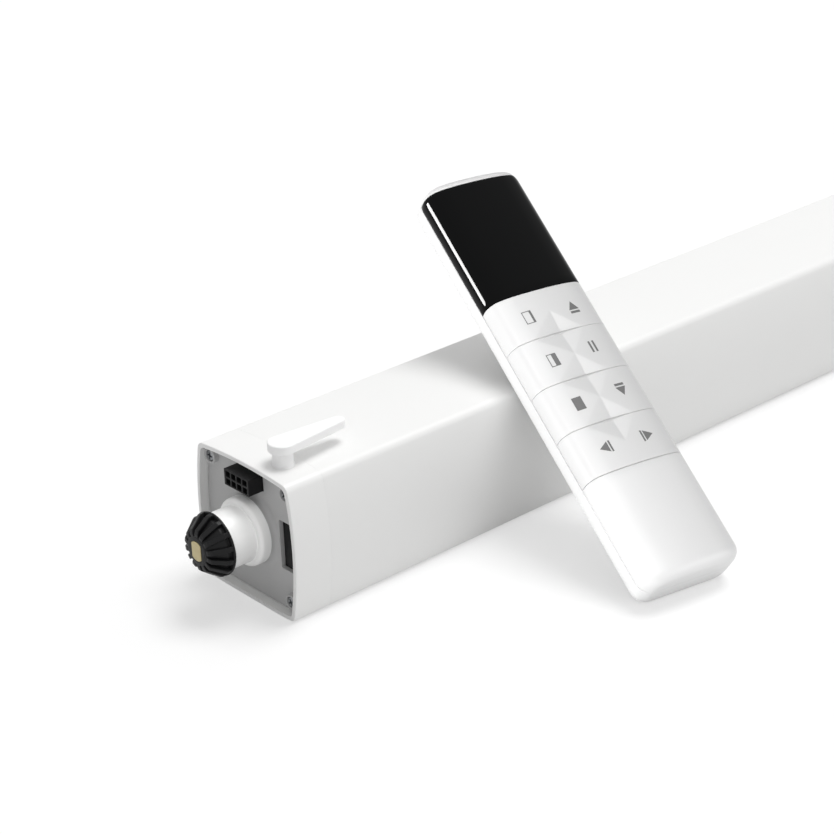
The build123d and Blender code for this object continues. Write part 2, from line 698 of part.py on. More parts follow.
with BuildPart() as control_parts:
    with BuildSketch(Plane.XY.offset(BOARD_TOP)):
        with Locations((CONTROL_BOARD_X - 30, 9), (CONTROL_BOARD_X - 30, -9)):
            Rectangle(16, 13)
    extrude(amount=15)
    with BuildSketch(Plane.XY.offset(BOARD_TOP)):
        with Locations((CONTROL_BOARD_X, 0), (CONTROL_BOARD_X + 20, 10)):
            Rectangle(12, 12)
    extrude(amount=1.6)
    with BuildSketch(Plane.XY.offset(BOARD_TOP)):
        with Locations((CONTROL_BOARD_X + 20, -12)):
            Rectangle(20, 12)
    extrude(amount=3.2)

# Closed far cap with its spigot, four screws, the pairing button and the light window beside it

with BuildPart() as far_cap:
    with BuildSketch(Plane.YZ.offset(UNIT_LENGTH - FAR_CAP_LENGTH)):
        add(box_section())
    extrude(amount=FAR_CAP_LENGTH)
    fillet(far_cap.faces().sort_by(Axis.X)[-1].outer_wire().edges(), 1.2)
    with BuildSketch(Plane.YZ.offset(UNIT_LENGTH - FAR_CAP_LENGTH)):
        add(box_section(2.3))
        with GridLocations(SCREW_PITCH, SCREW_PITCH, 2, 2):
            Circle(CHANNEL + 0.6, mode=Mode.SUBTRACT)
    extrude(amount=FAR_CAP_LENGTH - 2.6, mode=Mode.SUBTRACT)
    with BuildSketch(Plane.YZ.offset(UNIT_LENGTH - FAR_CAP_LENGTH - 5)):
        add(box_section(TUBE_WALL + 0.15))
        add(box_section(TUBE_WALL + 1.5), mode=Mode.SUBTRACT)
        Rectangle(28, 2 * CORNER_Y + 8, mode=Mode.INTERSECT)
    extrude(amount=5.2)
    with Locations(Plane.YZ.offset(UNIT_LENGTH)):
        with GridLocations(SCREW_PITCH, SCREW_PITCH, 2, 2):
            CounterBoreHole(SCREW_SHANK + 0.15, SCREW_HEAD + 0.3, 2.2)
        with Locations((BUTTON_Y, BUTTON_Z)):
            CounterBoreHole(BUTTON_RADIUS + 0.3, BUTTON_RADIUS + 1.6, 0.5)
        with Locations((-BUTTON_Y, BUTTON_Z)):
            Hole(1.5)

with BuildPart() as far_cap_screws:
    with BuildSketch(Plane.YZ.offset(UNIT_LENGTH - 2)):
        with GridLocations(SCREW_PITCH, SCREW_PITCH, 2, 2):
            Circle(SCREW_HEAD)
    extrude(amount=1.4)
    with BuildSketch(Plane.YZ.offset(UNIT_LENGTH - 26)):
        with GridLocations(SCREW_PITCH, SCREW_PITCH, 2, 2):
            Circle(SCREW_SHANK)
    extrude(amount=24.2)
    with BuildSketch(Plane.YZ.offset(UNIT_LENGTH - 0.6)):
        with GridLocations(SCREW_PITCH, SCREW_PITCH, 2, 2):
            Rectangle(2.5, 0.55)
            Rectangle(0.55, 2.5)
    extrude(amount=-0.8, mode=Mode.SUBTRACT)

with BuildPart() as pairing_button:
    with BuildSketch(Plane.YZ.offset(UNIT_LENGTH - 5)):
        with Locations((BUTTON_Y, BUTTON_Z)):
            Circle(BUTTON_RADIUS)
    extrude(amount=4.8)
    fillet(pairing_button.faces().sort_by(Axis.X)[-1].edges(), 0.6)
    with BuildSketch(Plane.YZ.offset(UNIT_LENGTH - 5)):
        with Locations((BUTTON_Y, BUTTON_Z)):
            Circle(BUTTON_RADIUS + 1.2)
    extrude(amount=1.2)

with BuildPart() as status_lens:
    with BuildSketch(Plane.YZ.offset(UNIT_LENGTH - 4)):
        with Locations((-BUTTON_Y, BUTTON_Z)):
            Circle(1.45)
    extrude(amount=4.2)
    fillet(status_lens.faces().sort_by(Axis.X)[-1].edges(), 0.5)
    with BuildSketch(Plane.YZ.offset(UNIT_LENGTH - 4.4)):
        with Locations((-BUTTON_Y, BUTTON_Z)):
            Circle(2.6)
    extrude(amount=1.6)

# Remote: one pillowed form, cut into a back shell, a grip front, four key rows and the lens


def remote_form(inset=0.0):
    """Solid of the remote's outer form, set in by inset on every side."""
    edge, top = REMOTE_WIDTH / 2 - inset, REMOTE_THICK - inset
    corner_x = REMOTE_WIDTH / 2 - SIDE_RADIUS
    crown_centre = REMOTE_THICK - CROWN_RADIUS
    corner_z = crown_centre + sqrt((CROWN_RADIUS - SIDE_RADIUS) ** 2 - corner_x**2)
    reach = (CROWN_RADIUS - inset) / (CROWN_RADIUS - SIDE_RADIUS)
    blend = (corner_x * reach, crown_centre + (corner_z - crown_centre) * reach)
    flat = REMOTE_WIDTH / 2 - BACK_RADIUS
    with BuildPart() as form:
        with BuildSketch(CROSS.offset(-inset)):
            with BuildLine():
                Line((-flat, inset), (flat, inset))
                TangentArc((flat, inset), (edge, BACK_RADIUS), tangent=(1, 0))
                Line((edge, BACK_RADIUS), (edge, corner_z))
                TangentArc((edge, corner_z), blend, tangent=(0, 1))
                ThreePointArc(blend, (0, top), (-blend[0], blend[1]))
                TangentArc((-edge, corner_z), (-blend[0], blend[1]), tangent=(0, 1))
                Line((-edge, corner_z), (-edge, BACK_RADIUS))
                TangentArc((-flat, inset), (-edge, BACK_RADIUS), tangent=(-1, 0))
            make_face()
        extrude(amount=2 * inset - REMOTE_LENGTH)
        with BuildSketch(SIDE.offset(-REMOTE_WIDTH)) as profile:
            with Locations((REMOTE_LENGTH / 2, REMOTE_THICK / 2)):
                Rectangle(REMOTE_LENGTH - 2 * inset, REMOTE_THICK - 2 * inset)
            for end, side, radius in (
                (0, 0, FOOT_RADIUS), (0, -1, FOOT_FRONT_RADIUS), (-1, 0, FOOT_RADIUS), (-1, -1, FOOT_RADIUS),
            ):
                corner = profile.vertices().group_by(Axis.X)[end].sort_by(Axis.Y)[side]
                fillet(corner, max(radius - inset, 0.6))
        extrude(amount=2 * REMOTE_WIDTH, mode=Mode.INTERSECT)
        with BuildSketch(REMOTE.offset(-1)):
            with Locations((0, REMOTE_LENGTH / 2)):
                RectangleRounded(
                    REMOTE_WIDTH - 2 * inset, REMOTE_LENGTH - 2 * inset, PLAN_RADIUS - inset,
                )
        extrude(amount=REMOTE_THICK + 3, mode=Mode.INTERSECT)
    return form.part


def front_slice(start, end, low):
    """Length of the front skin between start and end, open below at height low."""
    with BuildPart() as skin:
        add(outer_form)
        add(inner_form, mode=Mode.SUBTRACT)
        with BuildSketch(REMOTE.offset(low)):
            with Locations((0, (start + end) / 2)):
                Rectangle(REMOTE_WIDTH + 4, end - start)
        extrude(amount=REMOTE_THICK, mode=Mode.INTERSECT)
    return skin.part


outer_form = remote_form()
inner_form = remote_form(SHELL_WALL)
KEYS_END = KEYS_START + 4 * KEY_PITCH

with BuildPart() as remote_back_shell:
    add(outer_form)
    add(inner_form, mode=Mode.SUBTRACT)
    with BuildSketch(REMOTE.offset(PARTING - 0.06)):
        with Locations((0, LENS_END / 2)):
            Rectangle(REMOTE_WIDTH + 4, LENS_END + 0.2)
    extrude(amount=REMOTE_THICK, mode=Mode.SUBTRACT)
    with BuildSketch(REMOTE.offset(SHELL_WALL - 0.1)):
        with Locations((-14.6, 27.5), (14.6, 27.5)):
            Rectangle(1.2, 47)
        with Locations((0, 51.0)):
            Rectangle(30.4, 1.2)
        with Locations((-14, 62), (14, 62), (-14, 148), (14, 148)):
            Circle(2.2)
            Circle(0.9, mode=Mode.SUBTRACT)
    extrude(amount=PARTING - SHELL_WALL - 0.2)
    with BuildSketch(REMOTE.offset(-1)):
        with Locations((0, DOOR_START + DOOR_SIZE[1] / 2)):
            Rectangle(DOOR_SIZE[0] + 0.7, DOOR_SIZE[1] + 0.7)
    extrude(amount=SHELL_WALL + 1.4, mode=Mode.SUBTRACT)
    with BuildSketch(REMOTE.offset(-1)):
        with Locations((-14, 148), (14, 148)):
            Circle(2.1)
    extrude(amount=1.9, mode=Mode.SUBTRACT)
    with BuildSketch(REMOTE.offset(-1)):
        with Locations((-14, 148), (14, 148)):
            Circle(0.95)
    extrude(amount=SHELL_WALL + 2, mode=Mode.SUBTRACT)

with BuildPart() as remote_grip_shell:
    add(front_slice(-1, KEYS_START - KEY_GAP / 2, PARTING + 0.06))
    with BuildSketch(REMOTE.offset(REMOTE_THICK - SHELL_WALL - 2.6)):
        with Locations((0, 14), (0, 30)):
            Rectangle(20, 1.2)
    extrude(amount=2.8)

with BuildPart() as remote_lens:
    add(front_slice(KEYS_END + KEY_GAP / 2, LENS_END, PARTING + 0.06))

# Each key row rocks on the round foot of a middle web and has a plunger on each side of it

key_rows = []
for row in range(4):
    low_end, high_end = KEYS_START + row * KEY_PITCH, KEYS_START + (row + 1) * KEY_PITCH
    with BuildPart() as key_row:
        add(front_slice(low_end + KEY_GAP / 2, high_end - KEY_GAP / 2, PARTING + KEY_SKIRT_GAP))
        with BuildSketch(REMOTE.offset(MAT_LOW + 1.6)):
            with Locations((-10.5, low_end + 11.3), (10.5, low_end + 11.3)):
                Circle(1.8)
        extrude(amount=3.0)
        with BuildSketch(CROSS.offset(-low_end - 8)):
            with Locations((0, KEY_PIVOT)):
                Circle(KEY_PIVOT_RADIUS)
            with Locations((0, (KEY_PIVOT + REMOTE_THICK - 1.4) / 2)):
                Rectangle(2 * KEY_PIVOT_RADIUS, REMOTE_THICK - 1.4 - KEY_PIVOT)
        extrude(amount=-8)
    key_rows.append(key_row)

with BuildPart() as key_mat:
    with BuildSketch(REMOTE.offset(MAT_LOW)):
        with Locations((0, (52 + KEYS_END) / 2)):
            Rectangle(30.4, KEYS_END - 52)
    extrude(amount=0.8)
    for row in range(4):
        with BuildSketch(REMOTE.offset(MAT_LOW + 0.8)):
            with Locations((-10.5, KEYS_START + row * KEY_PITCH + 11.3), (10.5, KEYS_START + row * KEY_PITCH + 11.3)):
                Circle(3.2)
        extrude(amount=0.5, taper=30)

with BuildPart() as remote_board:
    with BuildSketch(REMOTE.offset(REMOTE_BOARD_LOW)):
        with Locations((0, 106)):
            RectangleRounded(32, 108, 1.5)
    extrude(amount=1.2)

with BuildPart() as display_module:
    with BuildSketch(REMOTE.offset(REMOTE_BOARD_LOW + 1.25)):
        with Locations((0, 142)):
            Rectangle(25, 36)
    extrude(amount=3.2)

with BuildPart() as battery_cells:
    with BuildSketch(CROSS.offset(-4.2)):
        with Locations((-CELL_SPREAD, CELL_HEIGHT), (CELL_SPREAD, CELL_HEIGHT)):
            Circle(CELL_RADIUS)
    extrude(amount=-43.6)
    chamfer(battery_cells.edges().filter_by(GeomType.CIRCLE), 0.4)
    with BuildSketch(CROSS.offset(-47.8)):
        with Locations((-CELL_SPREAD, CELL_HEIGHT)):
            Circle(1.9)
    extrude(amount=-0.9)
    with BuildSketch(CROSS.offset(-4.2)):
        with Locations((CELL_SPREAD, CELL_HEIGHT)):
            Circle(1.9)
    extrude(amount=0.9)

with BuildPart() as battery_springs:
    with BuildSketch(CROSS.offset(-2.3)):
        with Locations((-CELL_SPREAD, CELL_HEIGHT), (CELL_SPREAD, CELL_HEIGHT)):
            Rectangle(8.5, 8)
    extrude(amount=-0.4)
    with BuildSketch(CROSS.offset(-2.7)):
        with Locations((-CELL_SPREAD, CELL_HEIGHT)):
            Circle(3.0)
    extrude(amount=-1.45, taper=20)
    with BuildSketch(CROSS.offset(-50.0)):
        with Locations((-CELL_SPREAD, CELL_HEIGHT), (CELL_SPREAD, CELL_HEIGHT)):
            Rectangle(8.5, 7)
    extrude(amount=-0.35)
    with BuildSketch(CROSS.offset(-50.0)):
        with Locations((CELL_SPREAD, CELL_HEIGHT)):
            Circle(3.0)
    extrude(amount=2.15, taper=20)

with BuildPart() as battery_door:
    nose = DOOR_THICK / 2
    with BuildSketch(SIDE.offset(-DOOR_SIZE[0] / 2)):
        with Locations((DOOR_START + nose, nose)):
            Circle(nose)
        with Locations((DOOR_START + (nose + DOOR_SIZE[1]) / 2, nose)):
            Rectangle(DOOR_SIZE[1] - nose, DOOR_THICK)
    extrude(amount=DOOR_SIZE[0])
    with BuildSketch(REMOTE):
        with Locations((0, 44), (0, 46), (0, 48)):
            RectangleRounded(12, 0.9, 0.4)
    extrude(amount=0.5, mode=Mode.SUBTRACT)
    with BuildSketch(REMOTE.offset(SHELL_WALL - 0.15)):
        with Locations((0, 6.5)):
            Rectangle(2.8, 3)
    extrude(amount=1.0)
    with BuildSketch(REMOTE.offset(SHELL_WALL + 0.3)):
        with Locations((0, 4.6)):
            Rectangle(2.8, 3)
    extrude(amount=0.55)

with BuildPart() as shell_screws:
    with BuildSketch(REMOTE.offset(0.3)):
        with Locations((-14, 148), (14, 148)):
            Circle(1.9)
    extrude(amount=0.6)
    with BuildSketch(REMOTE.offset(0.3)):
        with Locations((-14, 148), (14, 148)):
            Circle(0.85)
    extrude(amount=7.5)

# Every finished piece is labelled and written under its own name

pieces = {
    "motor_tube": motor_tube, "drive_cap": drive_cap, "end_plate": end_plate, "plate_screws": plate_screws,
    "bearing_boss": bearing_boss, "front_bush": front_bush, "drive_cone": drive_cone,
    "output_shaft": output_shaft, "shaft_clip": shaft_clip, "track_connector": track_connector,
    "connector_contacts": connector_contacts, "service_port": service_port, "lever_post": lever_post,
    "lock_lever": lock_lever, "lock_spindle": lock_spindle, "lock_cam": lock_cam, "wave_washer": wave_washer,
    "gear_case": gear_case, "rear_bush": rear_bush, "gear_case_cover": gear_case_cover,
    "case_screws": case_screws, "output_gear": output_gear, "layshaft_cluster": layshaft_cluster,
    "layshaft_pin": layshaft_pin, "motor_pinion": motor_pinion, "motor_can": motor_can,
    "motor_magnets": motor_magnets, "motor_rotor": motor_rotor, "motor_windings": motor_windings,
    "motor_brushes": motor_brushes, "motor_end_bell": motor_end_bell, "encoder_ring": encoder_ring,
    "sensor_board": sensor_board, "isolator_rings": isolator_rings, "power_board": power_board,
    "transformer": transformer, "transformer_winding": transformer_winding, "power_parts": power_parts,
    "control_board": control_board, "control_parts": control_parts, "far_cap": far_cap,
    "far_cap_screws": far_cap_screws, "pairing_button": pairing_button, "status_lens": status_lens,
    "remote_back_shell": remote_back_shell, "remote_grip_shell": remote_grip_shell,
    "remote_lens": remote_lens, "key_row_1": key_rows[3], "key_row_2": key_rows[2],
    "key_row_3": key_rows[1], "key_row_4": key_rows[0], "key_mat": key_mat, "remote_board": remote_board,
    "display_module": display_module, "battery_cells": battery_cells, "battery_springs": battery_springs,
    "battery_door": battery_door, "shell_screws": shell_screws,
}
for name, piece in pieces.items():
    piece.part.label = name
    export_step(piece.part, f"parts/{name}.step")
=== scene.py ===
import json
import logging
from dataclasses import dataclass
from enum import Enum
from math import atan2, cos, hypot, pi, radians, sin, sqrt, tan
from typing import Callable, Sequence

import bmesh
import bpy
from mathutils import Matrix, Vector
from mathutils.geometry import tessellate_polygon

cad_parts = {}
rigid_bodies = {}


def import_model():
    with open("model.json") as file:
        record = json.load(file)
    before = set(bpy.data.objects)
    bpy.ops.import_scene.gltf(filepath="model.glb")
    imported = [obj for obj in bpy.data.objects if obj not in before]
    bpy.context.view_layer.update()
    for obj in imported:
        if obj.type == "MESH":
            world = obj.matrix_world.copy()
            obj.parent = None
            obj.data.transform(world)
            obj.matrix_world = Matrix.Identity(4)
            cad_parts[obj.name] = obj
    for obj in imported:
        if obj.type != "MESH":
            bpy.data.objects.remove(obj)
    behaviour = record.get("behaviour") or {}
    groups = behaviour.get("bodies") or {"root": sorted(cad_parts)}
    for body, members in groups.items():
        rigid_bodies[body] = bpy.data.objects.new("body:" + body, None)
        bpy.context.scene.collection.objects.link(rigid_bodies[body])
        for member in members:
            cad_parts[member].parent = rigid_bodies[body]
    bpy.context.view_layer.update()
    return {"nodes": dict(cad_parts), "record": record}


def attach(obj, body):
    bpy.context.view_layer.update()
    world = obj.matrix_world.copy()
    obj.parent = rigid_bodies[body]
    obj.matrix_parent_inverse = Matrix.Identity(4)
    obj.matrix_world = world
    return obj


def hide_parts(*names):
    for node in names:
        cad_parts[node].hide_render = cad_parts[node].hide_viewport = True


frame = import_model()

# Drive unit of a motorized vertical blind, with its hand-held remote leaning on it.
# Sizes are in millimetres until a mesh is finished, and the frame is the CAD part's own:
# the drive axis is X, the rim of the drive end is at X = 0, and Z points up.

log = logging.getLogger("blind_drive")
MM = 0.001
CREASE = 32.0  # angle in degrees above which an edge is sharp, on pieces with flats
SOFT_CREASE = 40.0  # and on pieces that flow
MITRE_LIMIT = 0.4  # how thin a mitred corner may get, as the cosine of its half turn
WELD = 0.002  # points nearer than this are one
WAVE_TURN = 2 * pi / 20  # length of one wave of Blender's wave pattern at scale 1
ROW_GAP = 0.02  # rows of a skin are at least this far apart
NO_EDGE = 99.0  # stands for the distance from a border that isn't eased
TINY = 1e-6

Point = tuple[float, float]
Corner = tuple[float, float, float]
Loop = list[Point]
Obj = bpy.types.Object
Tree = bpy.types.NodeTree
Node = bpy.types.Node
Socket = bpy.types.NodeSocket

# Planes that flat work is drawn on: drawing right, drawing up, and the way it grows
ON_FLOOR = Matrix.Identity(4)
ON_END = Matrix(((0, 0, 1, 0), (1, 0, 0, 0), (0, 1, 0, 0), (0, 0, 0, 1)))
ON_SIDE = Matrix(((1, 0, 0, 0), (0, 0, -1, 0), (0, 1, 0, 0), (0, 0, 0, 1)))

# Places that more than one sub-assembly keeps to
SCREW_SQUARE = 40.1
SKIRT_INSET = 2.3
FINE_EDGE = 0.03
BOSS_RADIUS = 12.1
PLUG_AT: Point = (0.0, 18.8)
PORT_AT: Point = (-17.6, -0.75)
LEVER_AT: Point = (9.0, -11.2)
KEYS_START = 42.2
KEY_PITCH = 18.47
KEY_GAP = 0.16
KEY_ROWS = 4


class Shading(Enum):
    """How a finished mesh meets the light."""

    HARD = "bevelled edges between true flats"
    SOFT = "one flowing surface"


# Flat outlines

def arc(centre: Point, radius: float, start: float, end: float, steps: int) -> Loop:
    """Points along a circular arc.

    Args:
        centre: Middle of the circle.
        radius: Its radius.
        start: Angle of the first point, in radians.
        end: Angle of the last point, in radians.
        steps: Number of spans between them.

    Returns:
        The points, both ends included.
    """
    turns = [start + (end - start) * k / steps for k in range(steps + 1)]
    return [(centre[0] + radius * cos(t), centre[1] + radius * sin(t)) for t in turns]


def rounded(corners: Sequence[Corner], closed: bool = True, steps: int = 4) -> Loop:
    """A path through corners that are each rounded by their own radius.

    Args:
        corners: x, y and rounding radius of each corner.
        closed: Whether the last corner joins the first.
        steps: Spans in each round.

    Returns:
        The path's points.
    """
    path: Loop = []
    count = len(corners)
    for index, (x, y, radius) in enumerate(corners):
        if radius <= 0 or (not closed and index in (0, count - 1)):
            path.append((x, y))
            continue
        here = Vector((x, y))
        back = (Vector(corners[index - 1][:2]) - here).normalized()
        ahead = (Vector(corners[(index + 1) % count][:2]) - here).normalized()
        half = back.angle(ahead) / 2
        reach = radius / tan(half)
        middle = here + (back + ahead).normalized() * (radius / sin(half))
        first, last = here + back * reach - middle, here + ahead * reach - middle
        turn = first.angle_signed(last)
        begin = atan2(first.y, first.x)
        path += arc(tuple(middle), radius, begin, begin - turn, steps)
    return path


def rectangle(width: float, height: float, radius: float = 0.0, at: Point = (0, 0)) -> Loop:
    """A rectangle's outline with rounded corners, drawn anticlockwise round a point.

    Args:
        width: Its width.
        height: Its height.
        radius: Round of its corners.
        at: Its middle.

    Returns:
        The outline.
    """
    x, y = width / 2, height / 2
    ways = ((-1, -1), (1, -1), (1, 1), (-1, 1))
    return rounded([(at[0] + across * x, at[1] + up * y, radius) for across, up in ways])


def circle(radius: float, at: Point = (0, 0), steps: int = 40) -> Loop:
    """A circle's outline, drawn anticlockwise."""
    return arc(at, radius, 0, 2 * pi, steps)[:-1]


def hole(outline: Loop) -> Loop:
    """The same outline drawn clockwise, which makes it an opening."""
    return outline[::-1]


def spun(loop: Loop, angle: float) -> Loop:
    """An outline turned round the origin by an angle in radians."""
    c, s = cos(angle), sin(angle)
    return [(x * c - y * s, x * s + y * c) for x, y in loop]


def shifted(loop: Loop, distance: float) -> Loop:
    """Moves a closed outline into the material on its left, mitred at its corners.

    Args:
        loop: The outline.
        distance: How far it moves.

    Returns:
        The moved outline, point for point.
    """
    moved: Loop = []
    for index, (x, y) in enumerate(loop):
        before, after = loop[index - 1], loop[(index + 1) % len(loop)]
        one = Vector((x - before[0], y - before[1])).normalized()
        two = Vector((after[0] - x, after[1] - y)).normalized()
        left = Vector((-(one.y + two.y), one.x + two.x))
        straight = Vector((-one.y, one.x))
        if left.length < TINY:
            left = straight.copy()
        left.normalize()
        scale = distance / max(left.dot(straight), MITRE_LIMIT)
        moved.append((x + left.x * scale, y + left.y * scale))
    return moved


# Meshes

class Shell:
    """Gathers the points and faces of one piece, in millimetres."""

    def __init__(self, name: str) -> None:
        """Starts an empty piece of that name."""
        self.name = name
        self.points: list[Vector] = []
        self.faces: list[tuple[int, ...]] = []

    def ring(self, points: Sequence[Sequence[float]]) -> list[int]:
        """Adds points at the places given, and returns their numbers."""
        first = len(self.points)
        self.points += [Vector(p) for p in points]
        return list(range(first, len(self.points)))

    def flat_ring(self, loop: Loop, height: float, plane: Matrix) -> list[int]:
        """Adds an outline at a height above a plane."""
        return self.ring([plane @ Vector((x, y, height)) for x, y in loop])

    def bridge(self, low: list[int], high: list[int], closed: bool = True) -> None:
        """Joins two rows of equal length with faces whose outside is on the right of the row.

        Args:
            low: Point numbers of one row.
            high: Point numbers of the other.
            closed: Whether the rows are rings.
        """
        count = len(low)
        for k in range(count if closed else count - 1):
            n = (k + 1) % count
            self.faces.append((low[k], low[n], high[n], high[k]))

    def lids(self, rings: list[list[int]], outlines: list[Loop], facing: bool) -> None:
        """Closes a flat end that may have openings.

        Args:
            rings: Point numbers of each outline.
            outlines: The outlines themselves, in the same order.
            facing: Whether the lid faces the way the outlines were drawn on.
        """
        numbers = [n for ring in rings for n in ring]
        flat = [p for loop in outlines for p in loop]
        cut = tessellate_polygon([[Vector((x, y, 0)) for x, y in loop] for loop in outlines])
        area = 0.0
        for tri in cut:
            (ax, ay), (bx, by), (cx, cy) = (flat[k] for k in tri)
            area += (bx - ax) * (cy - ay) - (by - ay) * (cx - ax)
        for tri in cut:
            a, b, c = (numbers[k] for k in tri)
            self.faces.append((a, b, c) if (area > 0) == facing else (a, c, b))

    def prism(self, outlines: list[Loop], low: float, high: float, ease: float = 0.2,
              ease_low: float | None = None, plane: Matrix = ON_FLOOR, steps: int = 2) -> None:
        """Adds a flat plate with openings and eased edges.

        Args:
            outlines: The outer outline, anticlockwise, then each opening, clockwise.
            low: Height of its lower face on the plane.
            high: Height of its upper face.
            ease: Radius of the upper edges.
            ease_low: Radius of the lower edges, if it differs.
            plane: The plane that it is drawn on.
            steps: Spans in each eased edge.
        """
        ease_low = ease if ease_low is None else ease_low
        levels: list[tuple[float, float]] = []
        for k in range(steps + 1 if ease_low > 0 else 1):
            t = pi / 2 * (1 - k / steps) if ease_low > 0 else 0
            levels.append((low + ease_low * (1 - cos(pi / 2 - t)), ease_low * (1 - cos(t))))
        for k in range(steps + 1 if ease > 0 else 1):
            t = pi / 2 * (k / steps) if ease > 0 else 0
            levels.append((high - ease * (1 - sin(t)), ease * (1 - cos(t))))
        stack: list[list[list[int]]] = []
        ends: list[list[Loop]] = []
        for height, inward in levels:
            ends.append([shifted(loop, inward) if inward else loop for loop in outlines])
            stack.append([self.flat_ring(loop, height, plane) for loop in ends[-1]])
        for below, above in zip(stack, stack[1:]):
            for one, two in zip(below, above):
                self.bridge(one, two)
        self.lids(stack[0], ends[0], False)
        self.lids(stack[-1], ends[-1], True)

    def lathe(self, profile: Loop, segments: int = 96, closed: bool = False, plane: Matrix = ON_END,
              centre: Point = (0, 0)) -> None:
        """Turns a profile round an axis that stands on a plane.

        Args:
            profile: Height along the axis and radius of each point, outside on its left.
            segments: Number of spans round the axis.
            closed: Whether the profile's last point joins its first.
            plane: The plane that the axis stands on.
            centre: Where it stands.
        """
        rows: list[list[int]] = []
        for height, radius in profile:
            loop = [centre] if radius < TINY else circle(radius, centre, segments)
            rows.append(self.flat_ring(loop, height, plane))
        pairs = list(zip(rows, rows[1:])) + ([(rows[-1], rows[0])] if closed else [])
        for one, two in pairs:
            if len(one) == 1 and len(two) > 1:
                self.faces += [(one[0], two[(k + 1) % segments], two[k]) for k in range(segments)]
            elif len(two) == 1 and len(one) > 1:
                self.faces += [(one[k], one[(k + 1) % segments], two[0]) for k in range(segments)]
            elif len(one) > 1:
                self.bridge(one, two)

    def finish(self, shading: Shading = Shading.HARD, crease: float = CREASE, place: Matrix = ON_FLOOR,
               weld: bool = False) -> Obj:
        """Turns the gathered faces into an object at the origin.

        Args:
            shading: Whether flats stay flat beside their eased edges.
            crease: Angle in degrees above which an edge is sharp.
            place: Last placement of the piece, in millimetres.
            weld: Whether points that fall on each other become one.

        Returns:
            The finished object, in metres.
        """
        mesh = bpy.data.meshes.new(self.name)
        mesh.from_pydata([tuple((place @ p) * MM) for p in self.points], [], self.faces)
        if weld:
            work = bmesh.new()
            work.from_mesh(mesh)
            bmesh.ops.remove_doubles(work, verts=work.verts, dist=WELD * MM)
            bmesh.ops.dissolve_degenerate(work, edges=work.edges, dist=WELD / 2 * MM)
            bmesh.ops.recalc_face_normals(work, faces=work.faces)
            work.to_mesh(mesh)
            work.free()
        mesh.validate()
        smooth(mesh, crease)
        piece = place_in_scene(self.name, mesh)
        if shading is Shading.HARD:
            even_flats(piece)
        return piece


def place_in_scene(name: str, data: bpy.types.ID) -> Obj:
    """Makes an object of that name that shows the data, and links it to the scene."""
    made = bpy.data.objects.new(name, data)
    bpy.context.scene.collection.objects.link(made)
    return made


def smooth(mesh: bpy.types.Mesh, crease: float) -> None:
    """Shades a mesh smooth up to an angle in degrees."""
    mesh.shade_smooth()
    mesh.set_sharp_from_angle(angle=radians(crease))


def even_flats(piece: Obj) -> None:
    """Lets a piece's large faces rule the normals, so that flats look flat beside their eased edges."""
    weighted = piece.modifiers.new("even flats", "WEIGHTED_NORMAL")
    weighted.keep_sharp = True
    weighted.weight = 80


def settle(piece: Obj, crease: float = CREASE) -> None:
    """Makes what a piece's modifiers show its plain mesh.

    Args:
        piece: The piece, which loses its modifiers.
        crease: Angle in degrees above which an edge is sharp.
    """
    graph = bpy.context.evaluated_depsgraph_get()
    plain = bpy.data.meshes.new_from_object(piece.evaluated_get(graph))
    piece.modifiers.clear()
    piece.data = plain
    smooth(plain, crease)


def carve(piece: Obj, *cutters: Obj, crease: float = CREASE) -> Obj:
    """Cuts shapes out of a piece for good.

    Args:
        piece: The piece.
        cutters: The shapes, which are used up.
        crease: Angle in degrees above which an edge is sharp.

    Returns:
        The piece with its openings.
    """
    flat = any(m.type == "WEIGHTED_NORMAL" for m in piece.modifiers)
    piece.modifiers.clear()
    for cutter in cutters:
        cutter.modifiers.clear()
        cut = piece.modifiers.new("cut", "BOOLEAN")
        cut.operation, cut.solver, cut.object = "DIFFERENCE", "EXACT", cutter
    settle(piece, crease)
    for cutter in cutters:
        bpy.data.objects.remove(cutter)
    if flat:
        even_flats(piece)
    return piece


def join(piece: Obj, other: Obj) -> Obj:
    """Adds another object's mesh to a piece and drops that object.

    Args:
        piece: The piece.
        other: The other object.

    Returns:
        The piece.
    """
    work = bmesh.new()
    work.from_mesh(piece.data)
    work.from_mesh(other.data)
    work.to_mesh(piece.data)
    work.free()
    bpy.data.objects.remove(other)
    return piece


def moved(piece: Obj, place: Matrix) -> Obj:
    """Moves a piece's mesh by a placement in millimetres."""
    piece.data.transform(Matrix.Scale(MM, 4) @ place @ Matrix.Scale(1 / MM, 4))
    return piece


# Node trees

def add(tree: Tree, kind: str, settings: dict | None = None, **links) -> Node:
    """Adds one node with its settings and links.

    Args:
        tree: The tree it goes into.
        kind: Blender's name of the node.
        settings: Properties of the node, or values of inputs given by name or number.
        links: Input name, with underscores for spaces, to the socket that feeds it.

    Returns:
        The new node.
    """
    node = tree.nodes.new(kind)
    for key, value in (settings or {}).items():
        if isinstance(key, str) and hasattr(node, key):
            setattr(node, key, value)
        else:
            node.inputs[key].default_value = value
    for key, source in links.items():
        target = node.inputs[int(key[1:])] if key[0] == "_" else node.inputs[key.replace("_", " ")]
        tree.links.new(source, target)
    return node


def linear(colour: str) -> tuple[float, float, float, float]:
    """Converts a colour by the sRGB standard's own formula.

    Args:
        colour: sRGB colour in hex, with its hash sign.

    Returns:
        Linear red, green and blue, and full alpha.
    """
    parts = [int(colour[k:k + 2], 16) / 255 for k in (1, 3, 5)]
    lin = [c / 12.92 if c <= 0.04045 else ((c + 0.055) / 1.055) ** 2.4 for c in parts]
    return (*lin, 1.0)


def per_mm(size: float) -> float:
    """Texture scale whose features are that many millimetres across."""
    return 1 / (size * MM)


